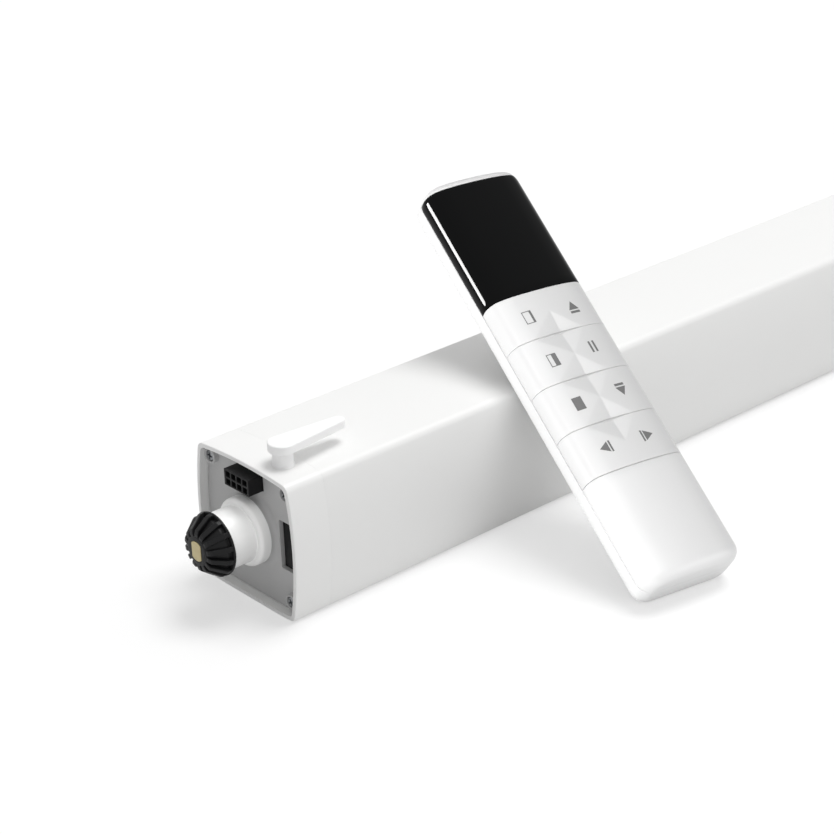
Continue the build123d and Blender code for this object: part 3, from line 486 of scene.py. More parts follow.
def open_rays(tree: Tree) -> Socket:
    """Tells what is looked at from what only sheds light.

    Args:
        tree: The tree it goes into.

    Returns:
        One for rays from the eye, off a gloss or through clear plastic, and zero for light that bounces.
    """
    path, either = add(tree, "ShaderNodeLightPath").outputs, {"operation": "MAXIMUM"}
    eye = add(tree, "ShaderNodeMath", either, _0=path["Is Camera Ray"], _1=path["Is Glossy Ray"])
    return add(tree, "ShaderNodeMath", either, _0=eye.outputs[0], _1=path["Is Transmission Ray"]).outputs[0]


# Finishes

@dataclass(frozen=True)
class Finish:
    """A surface with a main colour, an uneven sheen and a fine grain. All widths are in millimetres.

    Attributes:
        name: The real material and how it was made, and any painted light or shade it carries.
        colour: Main colour; on wound wire, the painted highlight of its crests.
        second: Colour of its faint unevenness; on wound wire, the painted shade of its grooves.
        roughness: Mean roughness.
        spread: How far the roughness wanders.
        grain: Width of the surface grain, coarser than the real one, which is too fine to show.
        relief: Depth of that grain.
        patches: Width of the uneven patches.
        metallic: One for a metal.
        coat: Weight of a clear top layer.
        specular: Share of the usual reflection at its surface, where 0.5 is plain.
        ior: Index of refraction.
        mottle: Share of the second colour.
    """

    name: str
    colour: str
    second: str
    roughness: float = 0.4
    spread: float = 0.05
    grain: float = 0.5
    relief: float = 0.004
    patches: float = 14.0
    metallic: float = 0.0
    coat: float = 0.0
    specular: float = 0.5
    ior: float = 1.5
    mottle: float = 0.5

    def make(self) -> bpy.types.Material:
        """The material, made once and then found again by its name.

        Returns:
            The material.
        """
        found = bpy.data.materials.get(self.name)
        if found:
            return found
        material = bpy.data.materials.new(self.name)
        material.use_nodes = True
        tree = material.node_tree
        shader = tree.nodes["Principled BSDF"]
        for socket, value in (("Metallic", self.metallic), ("Coat Weight", self.coat),
                              ("Specular IOR Level", self.specular), ("IOR", self.ior)):
            shader.inputs[socket].default_value = value
        where = add(tree, "ShaderNodeTexCoord").outputs["Object"]
        self.paint(tree, shader, where)
        bump = None
        for height, depth in self.patterns(tree, where):
            under = {"Normal": bump.outputs[0]} if bump else {}
            settings = {"Strength": 1.0, "Distance": depth * MM}
            bump = add(tree, "ShaderNodeBump", settings, Height=height, **under)
        tree.links.new(bump.outputs[0], shader.inputs["Normal"])
        return material

    def paint(self, tree: Tree, shader: Node, where: Socket) -> None:
        """Lays colour and sheen on the shader.

        Args:
            tree: The material's nodes.
            shader: Its surface shader.
            where: Position on the piece, in metres.
        """
        settings = {"Scale": per_mm(self.patches), "Detail": 3.0}
        patch = add(tree, "ShaderNodeTexNoise", settings, Vector=where).outputs["Fac"]
        share = add(tree, "ShaderNodeMath", {"operation": "MULTIPLY", 1: self.mottle}, _0=patch)
        self.colours(tree, shader, share.outputs[0], self.colour, self.second)
        self.sheen(tree, shader, patch)

    @staticmethod
    def colours(tree: Tree, shader: Node, share: Socket, first: str, second: str) -> None:
        """Lets a pattern choose between two hex colours."""
        ends = {"data_type": "RGBA", 6: linear(first), 7: linear(second)}
        tree.links.new(add(tree, "ShaderNodeMix", ends, _0=share).outputs[2], shader.inputs["Base Color"])

    def sheen(self, tree: Tree, shader: Node, driver: Socket) -> None:
        """Lets the roughness wander between its two limits as a pattern crosses its middle range.

        Args:
            tree: The material's nodes.
            shader: Its surface shader.
            driver: The pattern.
        """
        limits = {"From Min": 0.3, "From Max": 0.7, "To Min": self.roughness - self.spread,
                  "To Max": self.roughness + self.spread}
        rough = add(tree, "ShaderNodeMapRange", limits, Value=driver)
        tree.links.new(rough.outputs[0], shader.inputs["Roughness"])

    def patterns(self, tree: Tree, where: Socket) -> list[tuple[Socket, float]]:
        """The patterns that stand out of the surface.

        Args:
            tree: The material's nodes.
            where: Position on the piece, in metres.

        Returns:
            Each pattern with its depth, from the one that lies deepest.
        """
        settings = {"Scale": per_mm(self.grain), "Detail": 2.0, "Roughness": 0.6}
        grain = add(tree, "ShaderNodeTexNoise", settings, Vector=where)
        return [(grain.outputs["Fac"], self.relief)]


@dataclass(frozen=True)
class PowderCoat(Finish):
    """Baked powder on aluminium: the film flows a little, so its skin has faint soft waves."""

    def patterns(self, tree: Tree, where: Socket) -> list[tuple[Socket, float]]:
        """Fine grain that rides on waves four times as wide and twice as deep.

        Args:
            tree: The material's nodes.
            where: Position on the piece, in metres.

        Returns:
            Waves and grain, each with its depth.
        """
        wave = add(tree, "ShaderNodeTexNoise", {"Scale": per_mm(self.grain * 4), "Detail": 1.0}, Vector=where)
        fine = add(tree, "ShaderNodeTexNoise", {"Scale": per_mm(self.grain), "Detail": 2.0}, Vector=where)
        return [(wave.outputs["Fac"], self.relief * 2), (fine.outputs["Fac"], self.relief)]


@dataclass(frozen=True)
class TurnedMetal(Finish):
    """Metal worked round the X axis: rings round the axis catch the light.

    Attributes:
        ring: Spacing of the rings, several times that of real tool marks, which are too fine to show.
    """

    ring: float = 1.5708

    def patterns(self, tree: Tree, where: Socket) -> list[tuple[Socket, float]]:
        """Tool marks as rings round the axis.

        Args:
            tree: The material's nodes.
            where: Position on the piece, in metres.

        Returns:
            The rings with their depth.
        """
        settings = {"wave_type": "RINGS", "rings_direction": "X", "Scale": per_mm(self.ring) * WAVE_TURN,
                    "Distortion": 0.4}
        rings = add(tree, "ShaderNodeTexWave", settings, Vector=where)
        return [(rings.outputs["Fac"], self.relief)]


@dataclass(frozen=True)
class WoundWire(Finish):
    """Enamelled copper wire wound side by side: a painted highlight on each thread and painted shade in the
    groove between them.

    Attributes:
        wire: Spacing of the threads, drawn six times as coarse as the real 0.5 mm wire so that they show.
    """

    wire: float = 3.1416

    def turns(self, tree: Tree, where: Socket) -> Socket:
        """One turn of the wire beside the other."""
        settings = {"bands_direction": "Z", "Scale": per_mm(self.wire) * WAVE_TURN, "Distortion": 0.6,
                    "Detail": 1.0}
        return add(tree, "ShaderNodeTexWave", settings, Vector=where).outputs["Fac"]

    def paint(self, tree: Tree, shader: Node, where: Socket) -> None:
        """Paints each turn of the wire, with a painted highlight along its crest and painted shade in the
        groove.
        """
        turns = self.turns(tree, where)
        self.colours(tree, shader, turns, self.second, self.colour)
        self.sheen(tree, shader, turns)

    def patterns(self, tree: Tree, where: Socket) -> list[tuple[Socket, float]]:
        """The turns themselves."""
        return [(self.turns(tree, where), self.relief)]


@dataclass(frozen=True)
class CircuitBoard(Finish):
    """Glass-fibre board under solder mask: tracks show as paler lines through the mask.

    Attributes:
        track: Four times the spacing of the tracks: a row of the brick pattern is a quarter of its unit.
    """

    track: float = 2.4

    def paint(self, tree: Tree, shader: Node, where: Socket) -> None:
        """Draws the tracks as the seams of a brick pattern, under one sheen.

        Args:
            tree: The material's nodes.
            shader: Its surface shader.
            where: Position on the piece, in metres.
        """
        mask = linear(self.colour)
        settings = {"Scale": per_mm(self.track), "Mortar Size": 0.06, "Color1": mask, "Color2": mask,
                    "Mortar": linear(self.second)}
        bricks = add(tree, "ShaderNodeTexBrick", settings, Vector=where)
        tree.links.new(bricks.outputs["Color"], shader.inputs["Base Color"])
        self.sheen(tree, shader, bricks.outputs["Fac"])


@dataclass(frozen=True)
class ClearAcrylic(Finish):
    """Clear moulded acrylic: light passes, and its edges look a little darker.

    Attributes:
        clarity: Share of the light that goes through.
    """

    clarity: float = 0.85

    def paint(self, tree: Tree, shader: Node, where: Socket) -> None:
        """A clear body under one even polish."""
        for socket, value in (("Base Color", linear(self.colour)), ("Transmission Weight", self.clarity),
                              ("Roughness", self.roughness)):
            shader.inputs[socket].default_value = value


# Each finish gives its name, colour, second colour, roughness and its spread, grain, relief and patches

# White shell parts
# Powder flows as it bakes, so the long sides are one even matt white with very faint waves
COATED_TUBE = PowderCoat("aluminium_white_powder_coat", "#F3F3F2", "#EFEFEE", 0.42, 0.04, 0.7, 0.004, 40)
# A satin mould gives an even white whose edges carry a soft highlight
WHITE_ABS = Finish("abs_white_satin_moulding", "#F4F4F3", "#F0F0EF", 0.36, 0.04, 0.35, 0.003, 18)
# The cap's white moulding drawn a shade brighter, as painted light: the lever's flat top is the brightest thing
# on the unit
WHITE_ABS_PAINTED_LIGHT = Finish("abs_lever_bright_white", "#FEFEFE", "#FBFBFB", 0.34, 0.04, 0.35, 0.002, 9)
# Spark-eroded texture swallows highlights. The plate's dull grey behind the white rim is painted shade of its
# recess
PAINTED_SHADE_GREY_PLATE = Finish("abs_grey_spark_textured", "#BEBEBE", "#B8B8B8", 0.55, 0.05, 0.4, 0.008, 12)
# Glass fibres leave a dull, slightly mottled black in which the openings all but disappear
SOCKET_NYLON = Finish("nylon_black_glass_filled", "#121213", "#1A1A1B", 0.5, 0.08, 0.3, 0.006, 6, specular=0.2)
# Without fibres the black is a little smoother, and each rib carries a thin soft line of light
CONE_NYLON = Finish("nylon_black_moulded_cone", "#131314", "#1B1B1C", 0.42, 0.07, 0.4, 0.006, 5, specular=0.2)
# Fine-grained skin: white where it faces a bright panel, pale grey down its sides
REMOTE_ABS = Finish("abs_remote_white_gloss", "#DBDBDB", "#D8D8D8", 0.36, 0.04, 0.3, 0.0015, 25)
# A shade greyer than the case, so the keys stand apart from it
KEY_ABS = Finish("abs_key_pale_grey", "#D3D3D3", "#D0D0D0", 0.36, 0.04, 0.3, 0.0015, 15)
# Polished black: dark all over but for one sharp line of light. Its index is set below acrylic's own
# 1.49, which keeps the face as dark as it is seen
LENS_ACRYLIC = Finish("acrylic_black_polished", "#08090A", "#0A0B0C", 0.04, 0.01, 0.8, 0.0001, 30, ior=1.17)
# Ink printed off a soft pad dries flat and dark, without a highlight
KEY_INK = Finish("pad_printed_grey_ink", "#5F5F5F", "#686868", 0.6, 0.05, 0.15, 0.003, 1.5)

# Metals
# Turned and left matt: a pale dull yellow with faint rings
SHAFT_BRASS = TurnedMetal("brass_turned_matt", "#B5A987", "#A89B74", 0.42, 0.06, 0.2, 0.002, 3, metallic=1.0)
# Pressed strip: small warm glints deep in the socket
CONTACT_BRASS = Finish("phosphor_bronze_pressed", "#C9A760", "#B8934B", 0.3, 0.05, 0.2, 0.001, 2, metallic=1.0)
# Bright plating: cool grey heads with an uneven shine
ZINC_STEEL = Finish("steel_bright_zinc_plate", "#8E9092", "#7F8286", 0.32, 0.1, 0.25, 0.003, 2.5, metallic=1.0)
# Deep drawing leaves a smooth grey can with faint rings
DRAWN_STEEL = TurnedMetal("steel_deep_drawn_can", "#A4A6A8", "#96989C", 0.34, 0.08, 0.5, 0.002, 9, metallic=1.0)
# A raw casting is dull, with a coarse skin
DIE_CAST = Finish("zinc_die_cast_raw", "#9A9B9C", "#87888A", 0.5, 0.1, 0.6, 0.012, 5, metallic=1.0)
# Sintered powder soaked in oil is dark brown and matt
OILED_BRONZE = Finish("bronze_sintered_oiled", "#7C5F3A", "#5F4527", 0.55, 0.1, 0.15, 0.01, 1.2, metallic=1.0)
# Lacquered orange wire, with a painted highlight on each thread and painted shade in the grooves between them
COPPER_WIRE = WoundWire("copper_wire_enamelled", "#C8743A", "#5E2A10", 0.3, 0.08, relief=0.08, metallic=1.0)

# Inside parts
# Acetal without pigment is creamy and a little waxy
ACETAL = Finish("acetal_natural_white", "#E4E0D2", "#DAD5C4", 0.38, 0.05, 0.4, 0.003, 7)
# Pressed and fired ferrite is matt charcoal
FERRITE = Finish("ferrite_pressed_dark", "#35363A", "#2A2B2E", 0.6, 0.08, 0.3, 0.01, 4)
# Moulded rubber takes no highlight at all
BLACK_RUBBER = Finish("rubber_moulded_black", "#1E1E1E", "#272727", 0.75, 0.06, 0.3, 0.01, 5)
# Silicone is a soft pale grey with hardly any shine
SILICONE = Finish("silicone_keypad_grey", "#B9BABB", "#AEAFB0", 0.6, 0.05, 0.4, 0.004, 8)
# Solder mask is a glossy green that paler tracks cross
BOARD = CircuitBoard("fibreglass_board_green", "#0F5A2C", "#2F8A4E", 0.35, 0.08, 0.3, 0.004)
# Moulded epoxy is nearly black and finely rough
PACKAGES = Finish("epoxy_component_black", "#202124", "#2B2C30", 0.5, 0.1, 0.25, 0.006, 3)
# A shrunk sleeve shows its blue under a clear gloss
CELL_SLEEVE = Finish("cell_shrink_sleeve_blue", "#274C86", "#20406F", 0.28, 0.05, 0.5, 0.002, 9, coat=0.3)
# Clear acrylic makes a bright window with a darker rim
LIGHT_PIPE = ClearAcrylic("acrylic_clear_light_pipe", "#EAF2EC", "#EAF2EC", roughness=0.08, ior=1.49)

SLOT_FINISHES: dict[str, Finish] = {
    "tube_paint": COATED_TUBE, "white_plastic": WHITE_ABS, "plate_plastic": PAINTED_SHADE_GREY_PLATE,
    "black_nylon": SOCKET_NYLON, "brass": SHAFT_BRASS, "steel": ZINC_STEEL, "die_cast": DIE_CAST,
    "sintered": OILED_BRONZE, "gear_plastic": ACETAL, "copper": COPPER_WIRE, "magnet": FERRITE,
    "rubber": BLACK_RUBBER, "circuit_board": BOARD, "board_parts": PACKAGES, "remote_white": REMOTE_ABS,
    "key_plastic": KEY_ABS, "black_lens": LENS_ACRYLIC, "status_window": LIGHT_PIPE, "silicone": SILICONE,
    "cell_jacket": CELL_SLEEVE,
}
NODE_FINISHES: dict[str, Finish] = {
    "motor_can": DRAWN_STEEL, "connector_contacts": CONTACT_BRASS, "motor_pinion": CONTACT_BRASS,
}


def hand_over(piece: Obj, body: str, finish: Finish, slot: str, *stands_for: str) -> None:
    """Dresses a finished piece, hangs it on its body and reports it.

    Args:
        piece: The finished object.
        body: The CAD body that it moves with.
        finish: Its surface.
        slot: The record's material slot; not used.
        stands_for: CAD nodes that it is shown in place of.
    """
    piece.data.materials.clear()
    piece.data.materials.append(finish.make())
    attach(piece, body)
    if stands_for:
        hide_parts(*stands_for)
    log.info("%s rides on %s, %d faces, %s", piece.name, body, len(piece.data.polygons), finish.name)


# Geometry Nodes: one shape set out on a grid or round an axis

@dataclass(frozen=True)
class Repeater:
    """A node tree that sets a shape out on a pattern and joins the result.

    Attributes:
        name: Name of the tree.
        seed: Start of its random turns.
    """

    name: str
    seed: int = 7

    def _tree(self, **inputs: str) -> tuple[Tree, Socket, dict[str, Socket], dict[str, str]]:
        """A tree with a geometry input and output and further named inputs.

        Args:
            inputs: Name of each further input and its kind, Float or Int.

        Returns:
            The tree, its output for geometry, its inputs by name, and their identifiers by name.
        """
        tree = bpy.data.node_groups.new(self.name, "GeometryNodeTree")
        face = tree.interface
        face.new_socket(name="Geometry", in_out="OUTPUT", socket_type="NodeSocketGeometry")
        known = {name: face.new_socket(name=name, in_out="INPUT", socket_type="NodeSocket" + kind).identifier
                 for name, kind in {"Geometry": "Geometry", **inputs}.items()}
        source, output = add(tree, "NodeGroupInput"), add(tree, "NodeGroupOutput")
        return tree, output.inputs[0], {name: source.outputs[name] for name in known}, known

    def _run(self, shape: Obj, tree: Tree, end: Socket, copies: Socket, finish: Finish, values: dict) -> Obj:
        """Ends a tree in real, dressed geometry and keeps what it makes of a shape as its plain mesh.

        Args:
            shape: The shape.
            tree: The tree.
            end: Its output.
            copies: The copies that it has set out.
            finish: Their surface.
            values: Value of each input, by identifier.

        Returns:
            The copies as one plain piece.
        """
        real = add(tree, "GeometryNodeRealizeInstances", Geometry=copies)
        dress = add(tree, "GeometryNodeSetMaterial", {"Material": finish.make()}, Geometry=real.outputs[0])
        tree.links.new(dress.outputs[0], end)
        shape.modifiers.clear()
        modifier = shape.modifiers.new(self.name, "NODES")
        modifier.node_group = tree
        for identifier, value in values.items():
            modifier[identifier] = value
        settle(shape)
        even_flats(shape)
        return shape

    def grid(self, shape: Obj, pitch: Point, count: tuple[int, int], finish: Finish, turn: float) -> Obj:
        """Sets a shape out on a grid across the unit's end, with X as the shared axis.

        Args:
            shape: The shape, drawn round the drive axis.
            pitch: Spacing along Y and along Z, in millimetres.
            count: Copies along Y and along Z.
            finish: The surface of all the copies.
            turn: How far each copy is turned about its own axis, in degrees, at random but always alike.

        Returns:
            The copies as one plain piece.
        """
        tree, end, given, known = self._tree(Width="Float", Height="Float", Across="Int", Up="Int",
                                             Turn="Float")
        points = add(tree, "GeometryNodeMeshGrid", Size_X=given["Width"], Size_Y=given["Height"],
                     Vertices_X=given["Across"], Vertices_Y=given["Up"])
        on_end = {"Rotation": (pi / 2, 0, pi / 2)}
        upright = add(tree, "GeometryNodeTransform", on_end, Geometry=points.outputs[0])
        spread = add(tree, "FunctionNodeRandomValue", {"data_type": "FLOAT", "Seed": self.seed})
        most = next(s for s in spread.inputs if s.name == "Max" and s.type == "VALUE")
        tree.links.new(given["Turn"], most)
        angle = add(tree, "ShaderNodeCombineXYZ", X=next(s for s in spread.outputs if s.type == "VALUE"))
        copies = add(tree, "GeometryNodeInstanceOnPoints", Points=upright.outputs[0],
                     Instance=given["Geometry"], Rotation=angle.outputs[0])
        width, height = (step * (number - 1) * MM for step, number in zip(pitch, count))
        values = {known["Width"]: width, known["Height"]: height, known["Across"]: count[0],
                  known["Up"]: count[1], known["Turn"]: radians(turn)}
        return self._run(shape, tree, end, copies.outputs[0], finish, values)

    def around(self, shape: Obj, count: int, finish: Finish) -> Obj:
        """Sets a shape out evenly round the drive axis.

        Args:
            shape: The shape at its first place.
            count: Number of copies.
            finish: The surface of all the copies.

        Returns:
            The copies as one plain piece.
        """
        tree, end, given, known = self._tree(Copies="Int")
        points = add(tree, "GeometryNodeMeshLine", {"Offset": (0, 0, 0)}, Count=given["Copies"])
        index = add(tree, "GeometryNodeInputIndex")
        step = add(tree, "ShaderNodeMath", {"operation": "DIVIDE", 0: 2 * pi}, _1=given["Copies"])
        angle = add(tree, "ShaderNodeMath", {"operation": "MULTIPLY"}, _0=index.outputs[0], _1=step.outputs[0])
        spin = add(tree, "ShaderNodeCombineXYZ", X=angle.outputs[0])
        copies = add(tree, "GeometryNodeInstanceOnPoints", Points=points.outputs[0],
                     Instance=given["Geometry"], Rotation=spin.outputs[0])
        return self._run(shape, tree, end, copies.outputs[0], finish, {known["Copies"]: count})


# The box section that tube, caps and plate share

@dataclass(frozen=True)
class BoxSection:
    """Bowed box outline of the unit.

    Attributes:
        half: Half its width at the corners.
        top: Height of the upper corners above the drive axis.
        low: Height of the lower corners.
        floor: Height of the flat it lies on.
        flat_half: Half the width of that flat.
        top_bow: Rise of the roof above its corners.
        side_bow: Bulge of each side beyond its corners.
        low_bow: Bulge of the floor's two edges, between flat and corner.
        top_radius: Round of the upper corners.
        low_radius: Round of the lower corners.
        low_points: Points along each edge of the floor.
        side_points: Points up each side.
        roof_points: Points along half the roof.
    """

    half: float = 23.75
    top: float = 24.7
    low: float = -25.35
    floor: float = -26.0
    flat_half: float = 15.0
    top_bow: float = 1.3
    side_bow: float = 2.63
    low_bow: float = 0.11
    top_radius: float = 3.2
    low_radius: float = 1.8
    low_points: int = 8
    side_points: int = 26
    roof_points: int = 20

    @staticmethod
    def _bow(first: Point, last: Point, rise: float) -> Loop:
        """Arc from one point to another that rises on its right-hand side.

        Args:
            first: Where it starts.
            last: Where it ends.
            rise: Height of its middle.

        Returns:
            Its points.
        """
        run = Vector(last) - Vector(first)
        radius = (run.length ** 2 / 4 + rise ** 2) / (2 * rise)
        out = Vector((run.y, -run.x)).normalized()
        middle = (Vector(first) + Vector(last)) / 2 + out * (rise - radius)
        begin, end = Vector(first) - middle, Vector(last) - middle
        angle = atan2(begin.y, begin.x)
        return arc(tuple(middle), radius, angle, angle + abs(begin.angle_signed(end)), 200)

    @staticmethod
    def _round(before: Loop, after: Loop, radius: float) -> tuple[Loop, Loop, Loop]:
        """Rounds the corner where two stretches meet.

        Args:
            before: The stretch up to the corner.
            after: The one from it.
            radius: Size of the round.

        Returns:
            The first stretch cut back, the round, and the second cut back.
        """
        corner = Vector(before[-1])
        back = (Vector(before[-3]) - corner).normalized()
        ahead = (Vector(after[2]) - corner).normalized()
        half = back.angle(ahead) / 2
        reach = radius / tan(half)
        one = next(k for k in range(len(before) - 1, -1, -1) if (Vector(before[k]) - corner).length > reach)
        two = next(k for k in range(len(after)) if (Vector(after[k]) - corner).length > reach)

        def at_reach(far: Point, near: Point) -> Vector:
            """The point between two that is as far from the corner as the round reaches."""
            outer, inner = Vector(far), Vector(near)
            return outer.lerp(inner, 1 - (reach - (inner - corner).length) / (outer - inner).length)

        start, stop = at_reach(before[one], before[one + 1]), at_reach(after[two], after[two - 1])
        handle = 4 / 3 * tan((pi - 2 * half) / 4) * radius
        p1, p2 = (end + (corner - end).normalized() * handle for end in (start, stop))
        curve = [(1 - t) ** 3 * start + 3 * t * (1 - t) ** 2 * p1 + 3 * t * t * (1 - t) * p2 + t ** 3 * stop
                 for t in (k / 6 for k in range(7))]
        return before[:one + 1], [tuple(point) for point in curve], after[two:]

    @staticmethod
    def _even(stretch: Loop, count: int) -> Loop:
        """The same stretch with a set number of evenly spaced points.

        Args:
            stretch: The stretch.
            count: How many points it gets.

        Returns:
            Its new points.
        """
        lengths = [0.0]
        for one, two in zip(stretch, stretch[1:]):
            lengths.append(lengths[-1] + hypot(two[0] - one[0], two[1] - one[1]))
        even: Loop = []
        k = 0
        for step in range(count):
            target = lengths[-1] * step / (count - 1)
            while k < len(lengths) - 2 and lengths[k + 1] < target:
                k += 1
            share = (target - lengths[k]) / max(lengths[k + 1] - lengths[k], 1e-9)
            even.append(tuple(Vector(stretch[k]).lerp(Vector(stretch[k + 1]), share)))
        return even

    def loop(self, inset: float = 0.0) -> Loop:
        """The outline set in by a distance, anticlockwise from the middle of the floor.

        Args:
            inset: Distance inside the outer skin.

        Returns:
            Points in Y and Z, always the same number of them.
        """
        half, top, low, floor = self.half - inset, self.top - inset, self.low + inset, self.floor + inset
        edge = self._bow((self.flat_half, floor), (half, low), self.low_bow)
        side = self._bow((half, low), (half, top), self.side_bow)
        roof = self._bow((half, top), (-half, top), self.top_bow)
        # The rounds tighten towards the inside, down to a smallest one
        edge, low_round, side = self._round(edge, side, max(self.low_radius - inset * 0.4, 0.6))
        side, top_round, roof = self._round(side, roof, max(self.top_radius - inset * 0.6, 0.8))
        roof = [p for p in roof if p[0] > 0] + [(0.0, top + self.top_bow)]
        right = [(0.0, floor), (self.flat_half * 0.5, floor)] + self._even(edge, self.low_points) + low_round
        right += self._even(side, self.side_points)[1:-1] + top_round + self._even(roof, self.roof_points)[1:]
        return right + [(-y, z) for y, z in right[-2:0:-1]]


SECTION = BoxSection()


def broken_edge(x: float, way: int) -> Loop:
    """Stations of a fine broken edge at an end of the section.

    Args:
        x: Where the end is.
        way: 1 where the section runs along +X from there, -1 along -X.

    Returns:
        X and inset of each station, from the end into the length.
    """
    return [(x + way * share * FINE_EDGE, inset * FINE_EDGE) for share, inset in ((0, 1), (0.3, 0.3), (1, 0))]


def loft(shell: Shell, stations: Loop, closed: bool = False) -> list[list[int]]:
    """Runs the box section through stations along the unit.

    Args:
        shell: The piece that it is added to.
        stations: X and inset of each ring, in order so that the outside is on the left.
        closed: Whether the last ring joins the first.

    Returns:
        The point numbers of each ring.
    """
    rings = [shell.ring([(x, y, z) for y, z in SECTION.loop(inset)]) for x, inset in stations]
    for one, two in zip(rings, rings[1:] + ([rings[0]] if closed else [])):
        shell.bridge(one, two)
    return rings


class SubAssembly:
    """A group of pieces that is built and dressed together."""

    def build(self) -> None:
        """Builds and hands over every piece of the group."""
        raise NotImplementedError


@dataclass(frozen=True)
class DriveTube(SubAssembly):
    """The long extruded box."""

    start: float = 15.12
    end: float = 345.97
    wall: float = 1.8
    rings: int = 12

    def build(self) -> None:
        """An extruded tube whose ends have a fine broken edge."""
        shell = Shell("tube_skin")
        a, b = self.start, self.end
        middle = [(a + (b - a) * k / self.rings, 0.0) for k in range(1, self.rings)]
        stations = [(a, self.wall), *broken_edge(a, 1), *middle, *broken_edge(b, -1)[::-1], (b, self.wall)]
        loft(shell, stations, closed=True)
        hand_over(shell.finish(), "housing", COATED_TUBE, "tube_paint", "motor_tube")


@dataclass(frozen=True)
class DriveEnd(SubAssembly):
    """Cap, recessed plate and screws of the open end."""

    cap_length: float = 15.1
    rim_wall: float = 1.46
    rim_lip: float = 0.35
    recess: float = 3.5
    ledge: float = 5.5
    plate_thick: float = 1.95
    plate_bore: float = 8.2
    boss_fillet: float = 2.0
    boss_clear: float = 0.03
    screw_length: float = 26.95
    screw_rise: float = 1.55
    screw_boss: float = 2.8
    screw_boss_rise: float = 1.8
    screw_well: float = 2.1
    screw_well_depth: float = 1.35
    port_window: Point = (6.8, 17.9)
    plug_window: Point = (13.5, 6.3)

    def build(self) -> None:
        """Cap first, then what sits in it."""
        self.cap()
        self.plate()
        screw = CrossScrew(self.recess - self.screw_rise, self.screw_length)
        screws = screw.pattern("plate_screws_threaded", SCREW_SQUARE)
        hand_over(screws, "housing", ZINC_STEEL, "steel", "plate_screws")

    def cap(self) -> None:
        """Thin rim with a rounded lip, a ledge for the plate and a closed skirt behind it."""
        shell = Shell("cap_skin")
        wall, back, lip = self.rim_wall, self.cap_length, self.rim_lip
        stations = [(self.ledge, wall), (0.15, wall), (0.04, wall - 0.04), (0.0, wall - 0.15), (0.0, lip)]
        stations += [(lip * (1 - cos(t)), lip * (1 - sin(t))) for t in (pi / 6, pi / 3, pi / 2)]
        stations += [(back * 0.4, 0.0), (back * 0.7, 0.0), *broken_edge(back, -1)[::-1], (back, SKIRT_INSET),
                     (self.ledge, SKIRT_INSET)]
        loft(shell, stations, closed=True)
        hand_over(shell.finish(), "housing", WHITE_ABS, "white_plastic", "drive_cap")

    def plate(self) -> None:
        """Flat plate with windows for plug and port, and a raised boss round each corner screw."""
        shell = Shell("end_plate_moulding")
        windows = [rectangle(*self.plug_window, 0.3, PLUG_AT), rectangle(*self.port_window, 0.4, PORT_AT),
                   circle(self.plate_bore, steps=48)]
        shell.prism([SECTION.loop(self.rim_wall + 0.08), *map(hole, windows)], self.recess,
                    self.recess + self.plate_thick, 0.0, 0.25, ON_END)
        rise, sunk = self.boss_fillet, self.recess + 0.4
        top, under, foot = self.recess - rise, BOSS_RADIUS - 0.3, BOSS_RADIUS + self.boss_clear
        flare = arc((top, foot + rise), rise, -pi / 2, 0, 8)
        shell.lathe([(sunk, under), (top, under), *flare, (sunk, foot + rise)], 112, closed=True)
        half = SCREW_SQUARE / 2
        for at in ((y, z) for y in (-half, half) for z in (-half, half)):
            self.screw_boss_at(shell, at, self.recess - self.screw_boss_rise)
        # The plate's grey is painted shade of the recess it sits in
        hand_over(shell.finish(), "housing", PAINTED_SHADE_GREY_PLATE, "plate_plastic", "end_plate")

    def screw_boss_at(self, shell: Shell, at: Point, top: float) -> None:
        """One raised ring with a well for its screw, fitted inside the rim.

        Args:
            shell: The plate that it is added to.
            at: Its centre in Y and Z.
            top: X of its face.
        """
        well, sunk = top + self.screw_well_depth, self.recess + 0.3
        profile = rounded([(well, 0, 0), (well, self.screw_well, 0.2), (top, self.screw_well, 0.2),
                           (top, self.screw_boss, 0.35), (sunk, self.screw_boss + 0.15, 0), (sunk, 0, 0)],
                          closed=False)
        first = len(shell.points)
        shell.lathe(profile, 48, centre=at)
        for point in shell.points[first:]:
            self.keep_inside(point, self.rim_wall + 0.1)

    @staticmethod
    def keep_inside(point: Vector, inset: float) -> None:
        """Moves a point of the end face back inside the rim, if it lies beyond it.

        Args:
            point: The point.
            inset: How far inside the skin it has to be.
        """
        half = SECTION.half - inset
        bow_middle, bow_reach = -0.33, 25.0
        side = half + SECTION.side_bow * (1 - ((point.z - bow_middle) / bow_reach) ** 2)
        roof = SECTION.top - inset + SECTION.top_bow * (1 - (point.y / half) ** 2)
        point.y = max(-side, min(side, point.y))
        point.z = max(SECTION.floor + inset + 0.25, min(roof, point.z))


